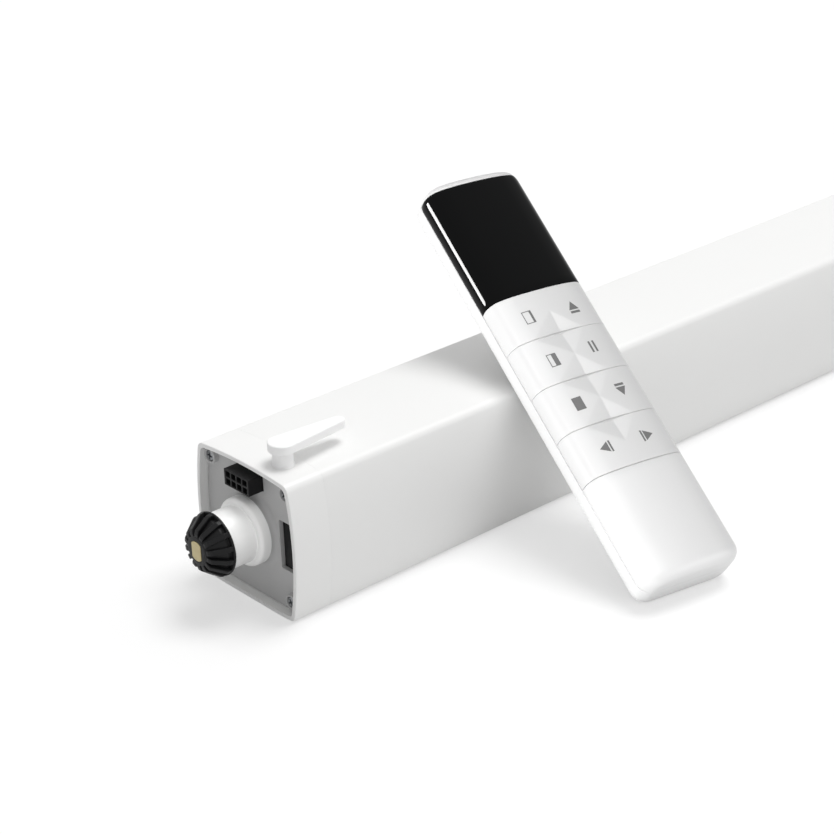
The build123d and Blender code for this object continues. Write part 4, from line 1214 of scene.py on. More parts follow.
@dataclass(frozen=True)
class CrossScrew:
    """Pan-head screw with a cross recess and a cut thread.

    Attributes:
        face: X of the top of its head.
        length: Whole length, head included.
        lead: Length of plain shank under the head.
        run_out: Length that is kept free of thread at the other end.
        tip: Length of the point.
        turn: How far the recesses of one set may be turned from each other, in degrees.
    """

    face: float
    length: float
    radius: float = 2.0
    height: float = 1.1
    shank: float = 1.22
    thread_pitch: float = 0.9
    thread_depth: float = 0.2
    slot: float = 0.62
    span: float = 2.6
    depth: float = 0.85
    lead: float = 1.0
    run_out: float = 1.5
    tip: float = 0.9
    turn: float = 80.0

    def cross(self) -> Loop:
        """Outline of the cross recess."""
        a, b, r = self.slot / 2, self.span / 2, 0.14
        arm = [(b, -a), (b, a), (a, a)]
        return rounded([(x, y, r) for turn in range(4) for x, y in spun(arm, turn * pi / 2)], steps=3)

    def profile(self) -> Loop:
        """Half outline of the whole screw, from the middle of its head to its point.

        Returns:
            X and radius of each point.
        """
        rim, end = self.face + self.height, self.face + self.length
        core, step = self.shank - self.thread_depth, self.thread_pitch
        path = rounded([(self.face, 0, 0), (self.face, self.radius * 0.72, 0.6),
                        (self.face + 0.4, self.radius, 0.3), (rim, self.radius, 0.1), (rim, self.shank, 0)],
                       closed=False)
        turns = int((end - rim - self.lead - self.run_out) / step)
        for x in (rim + self.lead + k * step for k in range(turns)):
            path += [(x, core), (x + step * 0.45, self.shank)]
        return path + [(end - self.tip, core), (end, 0.0)]

    def pattern(self, name: str, pitch: float, facing: int = -1) -> Obj:
        """Four screws on a square, each turned by its own amount.

        Args:
            name: Name of the piece.
            pitch: Side of the square.
            facing: -1 where the heads look along -X, 1 where they look along +X.

        Returns:
            The screws as one piece.
        """
        about = Matrix.Translation((2 * self.face, 0, 0)) @ Matrix.Rotation(pi, 4, "Z")
        plane = ON_END if facing < 0 else about @ ON_END
        body = Shell(name)
        body.lathe(self.profile(), 30, plane=plane)
        tool = Shell("driver_tip")
        tool.prism([self.cross()], self.face - 0.5, self.face + self.depth, 0.07, 0.0, plane)
        screw = carve(body.finish(weld=True), tool.finish(weld=True))
        return Repeater(name + "_layout").grid(screw, (pitch, pitch), (2, 2), ZINC_STEEL, self.turn)


@dataclass(frozen=True)
class BearingBoss(SubAssembly):
    """Stepped white boss that carries the output shaft."""

    collar: float = 10.05
    collar_end: float = -12.0
    boss_face: float = -2.7
    plate: float = 3.48
    spigot: float = 8.0
    spigot_end: float = 5.8
    bore: float = 6.05
    bush_bore: float = 4.4
    bush_face: float = -3.2

    def build(self) -> None:
        """One turned form, from the collar's mouth to the plate."""
        shell = Shell("bearing_boss_moulding")
        corners = [(self.spigot_end, self.bush_bore, 0), (self.bush_face, self.bush_bore, 0),
                   (self.bush_face, self.bore, 0), (self.collar_end, self.bore, 0.2),
                   (self.collar_end, self.collar, 0.2), (self.boss_face, self.collar, 0.25),
                   (self.boss_face, BOSS_RADIUS, 1.7), (self.plate, BOSS_RADIUS, 0),
                   (self.plate, self.spigot, 0), (self.spigot_end, self.spigot, 0)]
        shell.lathe(rounded(corners, steps=8), 128, closed=True)
        boss = shell.finish(Shading.SOFT, SOFT_CREASE)
        hand_over(boss, "housing", WHITE_ABS, "white_plastic", "bearing_boss")


@dataclass(frozen=True)
class ConeDrive(SubAssembly):
    """Black ribbed cone on the flat-sided end of the brass shaft."""

    flange: float = 11.3
    flange_back: float = -12.4
    flange_front: float = -13.15
    nose: float = -20.1
    nose_radius: float = 5.0
    rib_radius: float = 11.1
    rib_nose: float = 7.4
    rib_count: int = 14
    rib_width: float = 1.75
    pocket: float = 1.5
    slope_start: float = 1.4
    bore: float = 4.2
    hub: float = 4.6
    shaft_radius: float = 3.6
    shaft_flats: float = 5.0
    shaft_tip: float = -20.4
    shaft_back: float = 31.0
    clip_groove: float = 14.0
    groove_width: float = 0.9
    groove_depth: float = 0.5

    def build(self) -> None:
        """Cone body, its ribs set out by a node tree, and the shaft's end."""
        body = Shell("cone_body")
        root = self.rib_radius - self.pocket
        corners = [(self.flange_back, self.bore, 0), (self.nose, self.bore, 0),
                   (self.nose, self.nose_radius, 0.5), (self.nose + 1.1, self.rib_nose - self.pocket, 0.6),
                   (self.flange_front - self.slope_start, root, 0.5), (self.flange_front, root, 0.25),
                   (self.flange_front, self.flange, 0.25), (self.flange_back, self.flange, 0.15)]
        body.lathe(rounded(corners), 112, closed=True)
        hand_over(body.finish(Shading.SOFT, crease=38), "drive", CONE_NYLON, "black_nylon", "drive_cone")
        ribs = Repeater("cone_rib_layout").around(self.rib(), self.rib_count, CONE_NYLON)
        hand_over(ribs, "drive", CONE_NYLON, "black_nylon")
        hub = Shell("cone_hub")
        hub.prism([circle(self.hub, steps=64), hole(self.double_d(0.04))], self.nose - 0.05, self.flange_back,
                  0.0, 0.12, ON_END)
        hand_over(hub.finish(), "drive", CONE_NYLON, "black_nylon")
        self.shaft()

    def shaft(self) -> None:
        """Shaft with a flat-sided end, a turned body and a groove for its clip."""
        shell = Shell("drive_shaft")
        shell.prism([self.double_d()], self.shaft_tip, self.flange_back + 0.6, 0.0, 0.3, ON_END)
        r, start, end, groove = self.shaft_radius, self.flange_back + 0.2, self.shaft_back, self.clip_groove
        root, shoulder = r - self.groove_depth, groove + self.groove_width
        corners = [(start, 0, 0), (start, r, 0.05), (groove, r, 0.05), (groove, root, 0.05),
                   (shoulder, root, 0.05), (shoulder, r, 0.05), (end, r, 0.3), (end, 0, 0)]
        shell.lathe(rounded(corners, closed=False), 72)
        hand_over(shell.finish(), "drive", SHAFT_BRASS, "brass", "output_shaft")

    def double_d(self, grow: float = 0.0) -> Loop:
        """Round shaft outline with two flats that face left and right.

        Args:
            grow: How much larger it is all round.

        Returns:
            The outline.
        """
        radius, flat = self.shaft_radius + grow, self.shaft_flats / 2 + grow
        reach = atan2(sqrt(radius ** 2 - flat ** 2), flat)
        upper = arc((0, 0), radius, reach, pi - reach, 14)
        return upper + [(-x, -y) for x, y in upper]

    def rib(self) -> Obj:
        """One rib, a rounded bar that follows the cone's taper from flange to nose.

        Returns:
            The rib.
        """
        shell = Shell("cone_ribs")
        front, tip = self.flange_front + 0.1, self.nose + 0.15
        outline = rounded([(front, self.rib_radius - self.pocket - 0.8, 0), (front, self.rib_radius, 0),
                           (self.flange_front - self.slope_start, self.rib_radius, 1.0),
                           (self.nose + 0.55, self.rib_nose, 0.7), (tip, self.rib_nose - 1.3, 0.3),
                           (tip, 4.4, 0)])
        shell.prism([outline], -self.rib_width / 2, self.rib_width / 2, 0.25, plane=ON_SIDE, steps=3)
        return shell.finish(weld=True)


@dataclass(frozen=True)
class PlugSocket(SubAssembly):
    """Eight-way socket block above the boss, and the insert behind the side window."""

    size: Point = (13.2, 6.0)
    face: float = -2.3
    back: float = 6.2
    cell_pitch: Point = (3.0, 2.8)
    cell: Point = (2.25, 2.05)
    cell_depth: float = 5.5
    port_size: Point = (6.64, 17.74)
    port_face: float = 5.0
    port_well: Point = (2.3, 14.8)
    port_tongue: Point = (0.7, 13.6)
    port_row: float = -1.4

    def build(self) -> None:
        """Socket block and port insert."""
        self.block()
        self.port()

    def cells(self) -> list[Point]:
        """Centres of the socket's cells."""
        (y, z), (across, up) = PLUG_AT, self.cell_pitch
        return [(y + column * across, z + row * up)
                for row in (-0.5, 0.5) for column in (-1.5, -0.5, 0.5, 1.5)]

    def block(self) -> None:
        """Block with four by two square cells and a closed back."""
        shell = Shell("plug_socket_moulding")
        openings = [hole(rectangle(*self.cell, 0.18, at)) for at in self.cells()]
        outer = rectangle(*self.size, 0.25, PLUG_AT)
        floor = self.face + self.cell_depth
        shell.prism([outer, *openings], self.face, floor, 0.0, 0.14, ON_END)
        shell.prism([outer], floor, self.back, 0.0, 0.0, ON_END)
        hand_over(shell.finish(), "housing", SOCKET_NYLON, "black_nylon", "track_connector")

    def port(self) -> None:
        """Black insert with a well and a contact tongue in it."""
        shell = Shell("service_port_moulding")
        middle, face = (PORT_AT[0] + self.port_row, PORT_AT[1]), self.port_face
        outer = rectangle(*self.port_size, 0.3, PORT_AT)
        well = hole(rectangle(*self.port_well, 0.25, middle))
        shell.prism([outer, well], face, face + 0.75, 0.0, 0.12, ON_END)
        shell.prism([outer], face + 0.7, face + 1.2, 0.0, 0.0, ON_END)
        shell.prism([rectangle(*self.port_tongue, 0.15, middle)], face + 0.15, face + 0.8, 0.0, 0.1, ON_END)
        hand_over(shell.finish(), "housing", SOCKET_NYLON, "black_nylon", "service_port")


@dataclass(frozen=True)
class LockLever(SubAssembly):
    """Round post on the cap's roof and the tapering lever that turns on it."""

    roof: float = 25.6
    post_radius: float = 3.5
    post_bore: float = 2.0
    post_top: float = 30.45
    post_edge: float = 0.25
    foot_rise: float = 1.3
    foot_flare: float = 0.55
    top: float = 34.0
    thick: float = 3.05
    reach: float = 26.0
    hub: float = 4.9
    tip: float = 2.35
    tip_spread: float = 0.1
    hub_steps: int = 40

    def build(self) -> None:
        """Post, then lever."""
        post, lever = Shell("lever_post_moulding"), Shell("lever_moulding")
        r, top, sunk = self.post_radius, self.post_top, self.roof - 0.4
        flare = [(self.roof + self.foot_rise * (1 - sin(t)), r + self.foot_flare * (1 - cos(t)))
                 for t in (k * pi / 8 for k in range(5))]
        profile = [(top, self.post_bore), (top, r - self.post_edge), (top - self.post_edge, r), *flare,
                   (sunk, r + self.foot_flare), (sunk, self.post_bore)]
        post.lathe(profile[::-1], 72, closed=True, plane=ON_FLOOR, centre=LEVER_AT)
        # Post and lever are drawn in the white moulding made brighter, which is painted light
        hand_over(post.finish(Shading.SOFT, crease=45), "housing", WHITE_ABS_PAINTED_LIGHT, "white_plastic", "lever_post")
        under = self.top - self.thick
        lever.prism([self.arm()], under, self.top, 0.5, 0.3, steps=4)
        lever.prism([circle(r - 0.7, LEVER_AT, 48)], top + 0.35, under + 0.1, 0.0, 0.1)
        hand_over(lever.finish(), "lever", WHITE_ABS_PAINTED_LIGHT, "white_plastic", "lock_lever")

    def arm(self) -> Loop:
        """Outline of the arm: a round hub, two straight sides and a blunt rounded tip.

        Returns:
            The outline.
        """
        x, y = LEVER_AT
        tip_x, spread = x + self.reach - self.tip, self.tip_spread
        lean = atan2(self.hub - self.tip - spread, self.reach - self.tip)
        upper = arc((tip_x, y + spread), self.tip, 0, pi / 2 - lean, 8)
        lower = arc((tip_x, y - spread), self.tip, -pi / 2 + lean, 0, 8)
        return upper + arc(LEVER_AT, self.hub, pi / 2 - lean, 3 * pi / 2 + lean, self.hub_steps) + lower


@dataclass(frozen=True)
class FarEnd(SubAssembly):
    """Closed cap of the far end with its screws, pairing button and light window."""

    length: float = 360.0
    cap_length: float = 14.0
    corner: float = 1.2
    screw_rise: float = 0.6
    screw_length: float = 25.4
    well: float = 2.3
    wall: float = 2.4
    button_at: Point = (7.0, 6.0)
    button_radius: float = 3.0
    window_radius: float = 1.5

    def build(self) -> None:
        """Cap, button and screws."""
        self.cap()
        end, r = self.length, self.button_radius
        button = Shell("pairing_button_moulding")
        button.prism([circle(r, self.button_at, 48)], end - 5, end - 0.2, 0.6, 0.0, ON_END, steps=5)
        button.prism([circle(r + 1.2, self.button_at, 48)], end - 5, end - 3.8, 0.1, 0.1, ON_END)
        hand_over(button.finish(), "pairing_button", WHITE_ABS, "white_plastic", "pairing_button")
        screw = CrossScrew(end - self.screw_rise, self.screw_length)
        screws = screw.pattern("far_screws_threaded", SCREW_SQUARE, facing=1)
        hand_over(screws, "housing", ZINC_STEEL, "steel", "far_cap_screws")

    def cap(self) -> None:
        """Skirt, rounded corner and end wall in one closed form, with wells, button hole and light window."""
        start, end, r = self.length - self.cap_length, self.length, self.corner
        shell = Shell("far_cap_skin")
        stations = [(start, SKIRT_INSET), (start, 0.03), (start + 0.01, 0.01), (start + 0.03, 0.0),
                    (start + 6, 0.0), (end - r, 0.0)]
        stations += [(end - r * (1 - sin(t)), r * (1 - cos(t))) for t in (k * pi / 8 for k in (1, 2, 3))]
        stations += [(end, r)]
        outer = loft(shell, stations)
        inner = loft(shell, [(end - self.wall, SKIRT_INSET), (start, SKIRT_INSET)])
        half = SCREW_SQUARE / 2
        y, z = self.button_at
        openings = [circle(self.well, (a, b)) for a in (-half, half) for b in (-half, half)]
        openings += [circle(self.button_radius + 0.3, (y, z)), circle(self.window_radius, (-y, z), 28)]
        fronts = [[SECTION.loop(r)], [SECTION.loop(SKIRT_INSET)]]
        rows: list[list[list[int]]] = [[outer[-1]], [inner[0]]]
        for opening in map(hole, openings):
            rings = [shell.flat_ring(opening, x, ON_END) for x in (end, end - 0.3, end - self.wall)]
            for one, two in zip(rings, rings[1:]):
                shell.bridge(two, one)
            for side in (0, -1):
                rows[side].append(rings[side])
                fronts[side].append(opening)
        shell.lids(rows[0], fronts[0], True)
        shell.lids(rows[1], fronts[1], False)
        hand_over(shell.finish(weld=True), "housing", WHITE_ABS, "white_plastic", "far_cap")


# The remote's own form

@dataclass(frozen=True)
class RemoteForm:
    """Pillowed outer form of the remote, in its own frame: X across, Y from foot to top, Z out of the keys.

    Attributes:
        foot: Where its foot stands, in the unit's frame.
        heading: Turn of its long axis about the vertical, in degrees.
        lean: Rise of its long axis, in degrees.
    """

    length: float = 168.3
    width: float = 40.0
    thick: float = 18.0
    parting: float = 9.0
    side_radius: float = 5.5
    shoulder_radius: float = 28.3
    crown_radius: float = 130.0
    crown_half: float = 10.5
    shoulder_tilt: float = 16.0
    back_radius: float = 5.0
    plan_radius: float = 5.2
    end_radius: float = 2.5
    foot_front_radius: float = 3.8
    foot: Point = (107.0, -97.8)
    heading: float = 79.7
    lean: float = 35.2

    def placement(self) -> Matrix:
        """Turns the remote's own frame into the unit's.

        Returns:
            The placement.
        """
        turn, tilt = radians(self.heading), radians(self.lean)
        across = Vector((sin(turn), -cos(turn), 0))
        up = Vector((cos(turn) * cos(tilt), sin(turn) * cos(tilt), sin(tilt)))
        out = across.cross(up)
        low = SECTION.floor - self.end_radius * (sin(tilt) + cos(tilt) - 1)
        place = Matrix((across, up, out)).transposed().to_4x4()
        place.translation = Vector((*self.foot, low))
        return place

    def arcs(self) -> list[tuple[Vector, float, float, float]]:
        """The three arcs from the middle line outward: crown, shoulder and side.

        Returns:
            Centre, radius, first and last tilt of each.
        """
        first = atan2(self.crown_half, sqrt(self.crown_radius ** 2 - self.crown_half ** 2))
        tilt = radians(self.shoulder_tilt)
        crown = Vector((0.0, self.thick - self.crown_radius))
        way = Vector((sin(first), cos(first)))
        shoulder = crown + way * (self.crown_radius - self.shoulder_radius)
        way = Vector((sin(tilt), cos(tilt)))
        side = shoulder + way * (self.shoulder_radius - self.side_radius)
        return [(crown, self.crown_radius, 0.0, first), (shoulder, self.shoulder_radius, first, tilt),
                (side, self.side_radius, tilt, pi / 2)]

    def level(self, across: float) -> float:
        """Height of the front at a place across.

        Args:
            across: Distance from the middle line.

        Returns:
            The height.
        """
        reach = abs(across)
        for centre, radius, _, last in self.arcs():
            if reach <= centre.x + radius * sin(last):
                break
        return centre.y + sqrt(max(radius ** 2 - (reach - centre.x) ** 2, 0.0))

    def front_path(self, fine: int) -> list[tuple[Vector, Vector]]:
        """Half-round path over the front, from the parting line on the right to the one on the left.

        Args:
            fine: Spans over the crown and the two shoulders.

        Returns:
            Each point of the path with its outward normal.
        """
        crown, shoulder, side = self.arcs()
        edge, rise = self.width / 2, side[0].y - self.parting
        right = [(Vector((edge, self.parting + rise * t)), Vector((1, 0))) for t in (0, 0.3, 0.7)]
        for (centre, radius, first, last), count in ((side, 14), (shoulder, fine // 4), (crown, fine // 4)):
            for k in range(count):
                t = last + (first - last) * k / count
                way = Vector((sin(t), cos(t)))
                right.append((centre + way * radius, way))
        return right + [(Vector((0.0, self.thick)), Vector((0, 1)))] + self.mirrored(right)

    @staticmethod
    def mirrored(half: list[tuple[Vector, Vector]]) -> list[tuple[Vector, Vector]]:
        """The other half of a path, read on from the middle."""
        flip = Vector((-1, 1))
        return [(point * flip, normal * flip) for point, normal in half[::-1]]

    def back_path(self) -> list[tuple[Vector, Vector]]:
        """Path round the back, from the parting line on the left to the one on the right.

        Returns:
            Each point of the path with its outward normal.
        """
        edge, r = self.width / 2, self.back_radius
        left = [(Vector((-edge, r + (self.parting - r) * t)), Vector((-1, 0))) for t in (1, 0.96, 0.8, 0.4)]
        for k in range(9):
            t = pi + pi / 2 * k / 8
            way = Vector((cos(t), sin(t)))
            left.append((Vector((r - edge, r)) + way * r, way))
        flat = [(Vector((x, 0)), Vector((0, -1))) for x in (-10, -5, 0, 5, 10)]
        return left + flat + self.mirrored(left)

    def squeeze(self, along: float) -> tuple[float, float, float]:
        """How the section closes in near the two ends.

        Args:
            along: Distance from the foot.

        Returns:
            Half width, lowest and highest level of the section there.
        """
        def round_in(depth: float, radius: float) -> float:
            """How far a round draws in at a depth from the end."""
            return 0.0 if depth >= radius else radius - sqrt(max(radius ** 2 - (radius - depth) ** 2, 0))

        near_top = self.length - along
        depth = min(along, near_top)
        half = self.width / 2 - round_in(depth, self.plan_radius)
        front = self.foot_front_radius if along < near_top else self.end_radius
        return half, round_in(depth, self.end_radius), self.thick - round_in(depth, front)

    def place(self, along: float, point: Vector, normal: Vector, inset: float) -> Vector:
        """A point of the form, set in from its skin.

        Args:
            along: Distance from the foot.
            point: Place on the cross section.
            normal: Outward normal there.
            inset: Distance below the skin.

        Returns:
            The point in the remote's own frame.
        """
        along = max(inset, min(self.length - inset, along))
        half, low, high = self.squeeze(along)
        flat = point - normal * inset
        x = flat.x * half / (self.width / 2)
        if flat.y >= self.parting:
            z = self.parting + (flat.y - self.parting) * (high - self.parting) / (self.thick - self.parting)
        else:
            z = self.parting - (self.parting - flat.y) * (self.parting - low) / self.parting
        return Vector((x, along, z))


REMOTE = RemoteForm()


def eased(from_end: float, from_side: float, radius: float) -> float:
    """How far a rounded edge drops below the skin near two borders.

    Args:
        from_end: Distance from the nearer end.
        from_side: Distance from the nearer side.
        radius: Radius of the edge.

    Returns:
        The drop.
    """
    a, b = max(radius - from_end, 0), max(radius - from_side, 0)
    return radius - sqrt(max(radius ** 2 - a * a - b * b, 0))


@dataclass(frozen=True)
class SkinPatch:
    """One moulded skin cut from the remote's form, with eased borders and a wall behind it.

    Attributes:
        start: Where it begins, from the foot.
        end: Where it ends.
        low: Level of its lower border, above or below which it is cut.
        ease: Radius of its borders.
        wall: Its thickness.
        front: Whether it belongs to the front or the back.
        ease_start: Whether its lower end is eased.
        ease_end: Whether its upper end is eased.
        ease_sides: Whether the two long borders are eased.
        step: Spacing of its rows.
        fine: Spans over the crown.
        relief: Height above the skin at a place across and along, if it isn't smooth.
    """

    start: float
    end: float
    low: float
    ease: float = 0.25
    wall: float = 1.8
    front: bool = True
    ease_start: bool = True
    ease_end: bool = True
    ease_sides: bool = True
    step: float = 3.0
    fine: int = 34
    relief: Callable[[float, float], float] | None = None

    def rows(self) -> list[float]:
        """Places of the rows, closer together where the form turns.

        Returns:
            Their distances from the foot.
        """
        span = self.end - self.start
        count = max(int(span / self.step), 2)
        marks = [self.start + span * k / count for k in range(count + 1)]
        for d in (0.0, 0.1, 0.4, 1.0):
            marks += [self.start + self.ease * d, self.end - self.ease * d]
        for end, way in ((0.0, 1), (REMOTE.length, -1)):
            for radius in (REMOTE.end_radius, REMOTE.plan_radius):
                marks += [end + way * radius * (1 - cos(pi / 2 * k / 9)) for k in range(10)]
        marks = sorted(m for m in marks if self.start - TINY <= m <= self.end + TINY)
        kept = [marks[0]]
        for mark in marks[1:]:
            if mark - kept[-1] > ROW_GAP:
                kept.append(mark)
        return kept

    def add_to(self, shell: Shell) -> None:
        """Adds the skin, its borders and its inner face to a piece.

        Args:
            shell: The piece.
        """
        path = REMOTE.front_path(self.fine) if self.front else REMOTE.back_path()
        hold = max if self.front else min
        lifted = [(Vector((point.x, hold(point.y, self.low))), normal) for point, normal in path]
        if self.front and self.low < REMOTE.parting:
            for k in (0, -1):
                lifted[k] = (Vector((lifted[k][0].x, self.low)), lifted[k][1])
        run = [0.0]
        for (one, _), (two, _) in zip(lifted, lifted[1:]):
            run.append(run[-1] + (two - one).length)
        outer: list[list[int]] = []
        inner: list[list[int]] = []
        for along in self.rows():
            from_end = min(along - self.start if self.ease_start else NO_EDGE,
                           self.end - along if self.ease_end else NO_EDGE)
            skin, core = [], []
            for (point, normal), distance in zip(lifted, run):
                side = min(distance, run[-1] - distance) if self.ease_sides else NO_EDGE
                inset = eased(from_end, side, self.ease)
                if self.relief and inset <= 0:
                    inset = -self.relief(point.x, along)
                skin.append(REMOTE.place(along, point, normal, inset))
                core.append(REMOTE.place(max(self.start, min(self.end, along)), point, normal, self.wall))
            outer.append(shell.ring(skin))
            inner.append(shell.ring(core))
        for one, two in zip(outer, outer[1:]):
            shell.bridge(two, one, closed=False)
        for one, two in zip(inner, inner[1:]):
            shell.bridge(one, two, closed=False)
        shell.bridge([row[0] for row in inner], [row[0] for row in outer], closed=False)
        shell.bridge([row[-1] for row in outer], [row[-1] for row in inner], closed=False)
        self.close_end(shell, outer[0], inner[0], self.start <= TINY, False)
        self.close_end(shell, outer[-1], inner[-1], self.end >= REMOTE.length - TINY, True)

    def close_end(self, shell: Shell, skin: list[int], core: list[int], blind: bool, top: bool) -> None:
        """Closes one end, with a cut face or, at the remote's own ends, with a full end wall.

        Args:
            shell: The piece.
            skin: Point numbers of its last outer row.
            core: Point numbers of its last inner row.
            blind: Whether this is one of the remote's own ends.
            top: Whether it is the upper one.
        """
        if not blind:
            shell.bridge(*((core, skin) if top else (skin, core)), closed=False)
            return
        shell.faces += [tuple(skin), tuple(core[::-1]), (skin[-1], skin[0], core[0], core[-1])]


@dataclass(frozen=True)
class RemoteCase(SubAssembly):
    """Back shell, plain grip, black window and battery door of the remote."""

    lens_end: float = 165.3
    seam: float = 0.06
    door_start: float = 4.8
    door_size: Point = (26.0, 46.4)
    door_gap: float = 0.35
    door_thick: float = 1.7
    screw_at: Point = (14.0, 148.0)
    screw_well: Point = (2.1, 0.9)
    screw_bore: Point = (0.95, 4.0)
    groove_size: Point = (12.0, 0.9)
    groove_pitch: float = 2.0
    groove_end: float = 50.0
    tab_half: float = 1.4

    def build(self) -> None:
        """Every part of the case."""
        place, level, gap = REMOTE.placement(), REMOTE.parting + self.seam, KEY_GAP / 2
        keys_end = KEYS_START + KEY_ROWS * KEY_PITCH
        grip, lens = Shell("grip_skin"), Shell("lens_window")
        SkinPatch(0.0, KEYS_START - gap, level, ease_start=False).add_to(grip)
        grip_piece = grip.finish(Shading.SOFT, SOFT_CREASE, place, weld=True)
        hand_over(grip_piece, "remote", REMOTE_ABS, "remote_white", "remote_grip_shell")
        SkinPatch(keys_end + gap, self.lens_end, level, 0.2).add_to(lens)
        lens_piece = lens.finish(Shading.SOFT, SOFT_CREASE, place, weld=True)
        hand_over(lens_piece, "remote", LENS_ACRYLIC, "black_lens", "remote_lens")
        self.back_shell(place)
        self.door(place)

    def back_shell(self, place: Matrix) -> None:
        """Back shell that rises to the front above the window, with the door's opening and two screw wells.

        Args:
            place: Placement of the remote.
        """
        level = REMOTE.parting - self.seam
        shell, opening, strip = Shell("back_shell_skin"), Shell("door_opening"), Shell("end_strip")
        SkinPatch(0.0, REMOTE.length, level, 0.2, front=False, ease_start=False, ease_end=False).add_to(shell)
        a, b = self.door_start - self.door_gap, self.door_start + self.door_size[1] + self.door_gap
        outline = rectangle(self.door_size[0] + 2 * self.door_gap, b - a, 0.5, (0, (a + b) / 2))
        opening.prism([outline], -1, 3.5, 0, 0)
        cutters = [opening.finish()]
        for x in (-self.screw_at[0], self.screw_at[0]):
            for radius, depth in (self.screw_well, self.screw_bore):
                well = Shell("screw_well")
                well.prism([circle(radius, (x, self.screw_at[1]), 36)], -1, depth, 0.0, 0.0)
                cutters.append(well.finish())
        skin = carve(shell.finish(Shading.SOFT, SOFT_CREASE, weld=True), *cutters, crease=SOFT_CREASE)
        rest = SkinPatch(self.lens_end + 0.1, REMOTE.length, level, 0.2, ease_end=False, ease_sides=False)
        rest.add_to(strip)
        skin = moved(join(skin, strip.finish(Shading.SOFT, SOFT_CREASE, weld=True)), place)
        hand_over(skin, "remote", REMOTE_ABS, "remote_white", "remote_back_shell")

    def door(self, place: Matrix) -> None:
        """Battery door with a round hinge nose, a hooked tab and three finger grooves.

        Args:
            place: Placement of the remote.
        """
        width, long = self.door_size
        start, thick = self.door_start, self.door_thick
        nose = thick / 2
        side = [(start + nose, 0.0), (start + long, 0.0), (start + long, thick), (start + nose, thick)]
        side += arc((start + nose, nose), nose, pi / 2, 3 * pi / 2, 8)[1:-1]
        leaf, tab = Shell("battery_door_leaf"), Shell("door_tabs")
        leaf.prism([side], -width / 2, width / 2, 0.2, plane=ON_END)
        grooves = []
        for step in (3, 2, 1):
            groove = Shell("finger_groove")
            middle = (0, self.groove_end - step * self.groove_pitch)
            groove.prism([rectangle(*self.groove_size, 0.42, middle)], -1.0, 0.5, 0.25, 0.0)
            grooves.append(groove.finish())
        hook = [(start + 0.2, 1.5), (start + 3.2, 1.5), (start + 3.2, 2.65), (start - 1.7, 2.65),
                (start - 1.7, 2.1), (start + 0.2, 2.1)]
        tab.prism([hook], -self.tab_half, self.tab_half, 0.1, plane=ON_END)
        body = moved(join(carve(leaf.finish(), *grooves), tab.finish()), place)
        hand_over(body, "battery_door", REMOTE_ABS, "remote_white", "battery_door")


@dataclass(frozen=True)
class KeyRow:
    """One full-width rocker key.

    Attributes:
        number: Its place, counted from the window.
        start: Where it begins, from the foot.
        end: Where it ends.
        left: Where the sunken facets begin, on the left of the middle.
        right: Where they end, on its right.
        valley: Where their left and right slopes meet.
        depth: How deep they are there.
    """

    number: int
    start: float
    end: float
    left: float = -11.5
    right: float = 8.6
    valley: float = -0.3
    depth: float = 0.85

    def facets(self, across: float, along: float) -> float:
        """Relief of the faceted middle: a flat four-sided pit round each border between two keys.

        Args:
            across: Distance from the middle line.
            along: Distance from the foot.

        Returns:
            Height above the skin, never positive.
        """
        reach = self.valley - self.left if across < self.valley else self.right - self.valley
        side = abs(across - self.valley) / reach
        half = (self.end - self.start) / 2
        borders = [self.start] * (self.number < KEY_ROWS) + [self.end] * (self.number > 1)
        return -self.depth * max(max(0.0, 1 - side - abs(along - edge) / half) for edge in borders)


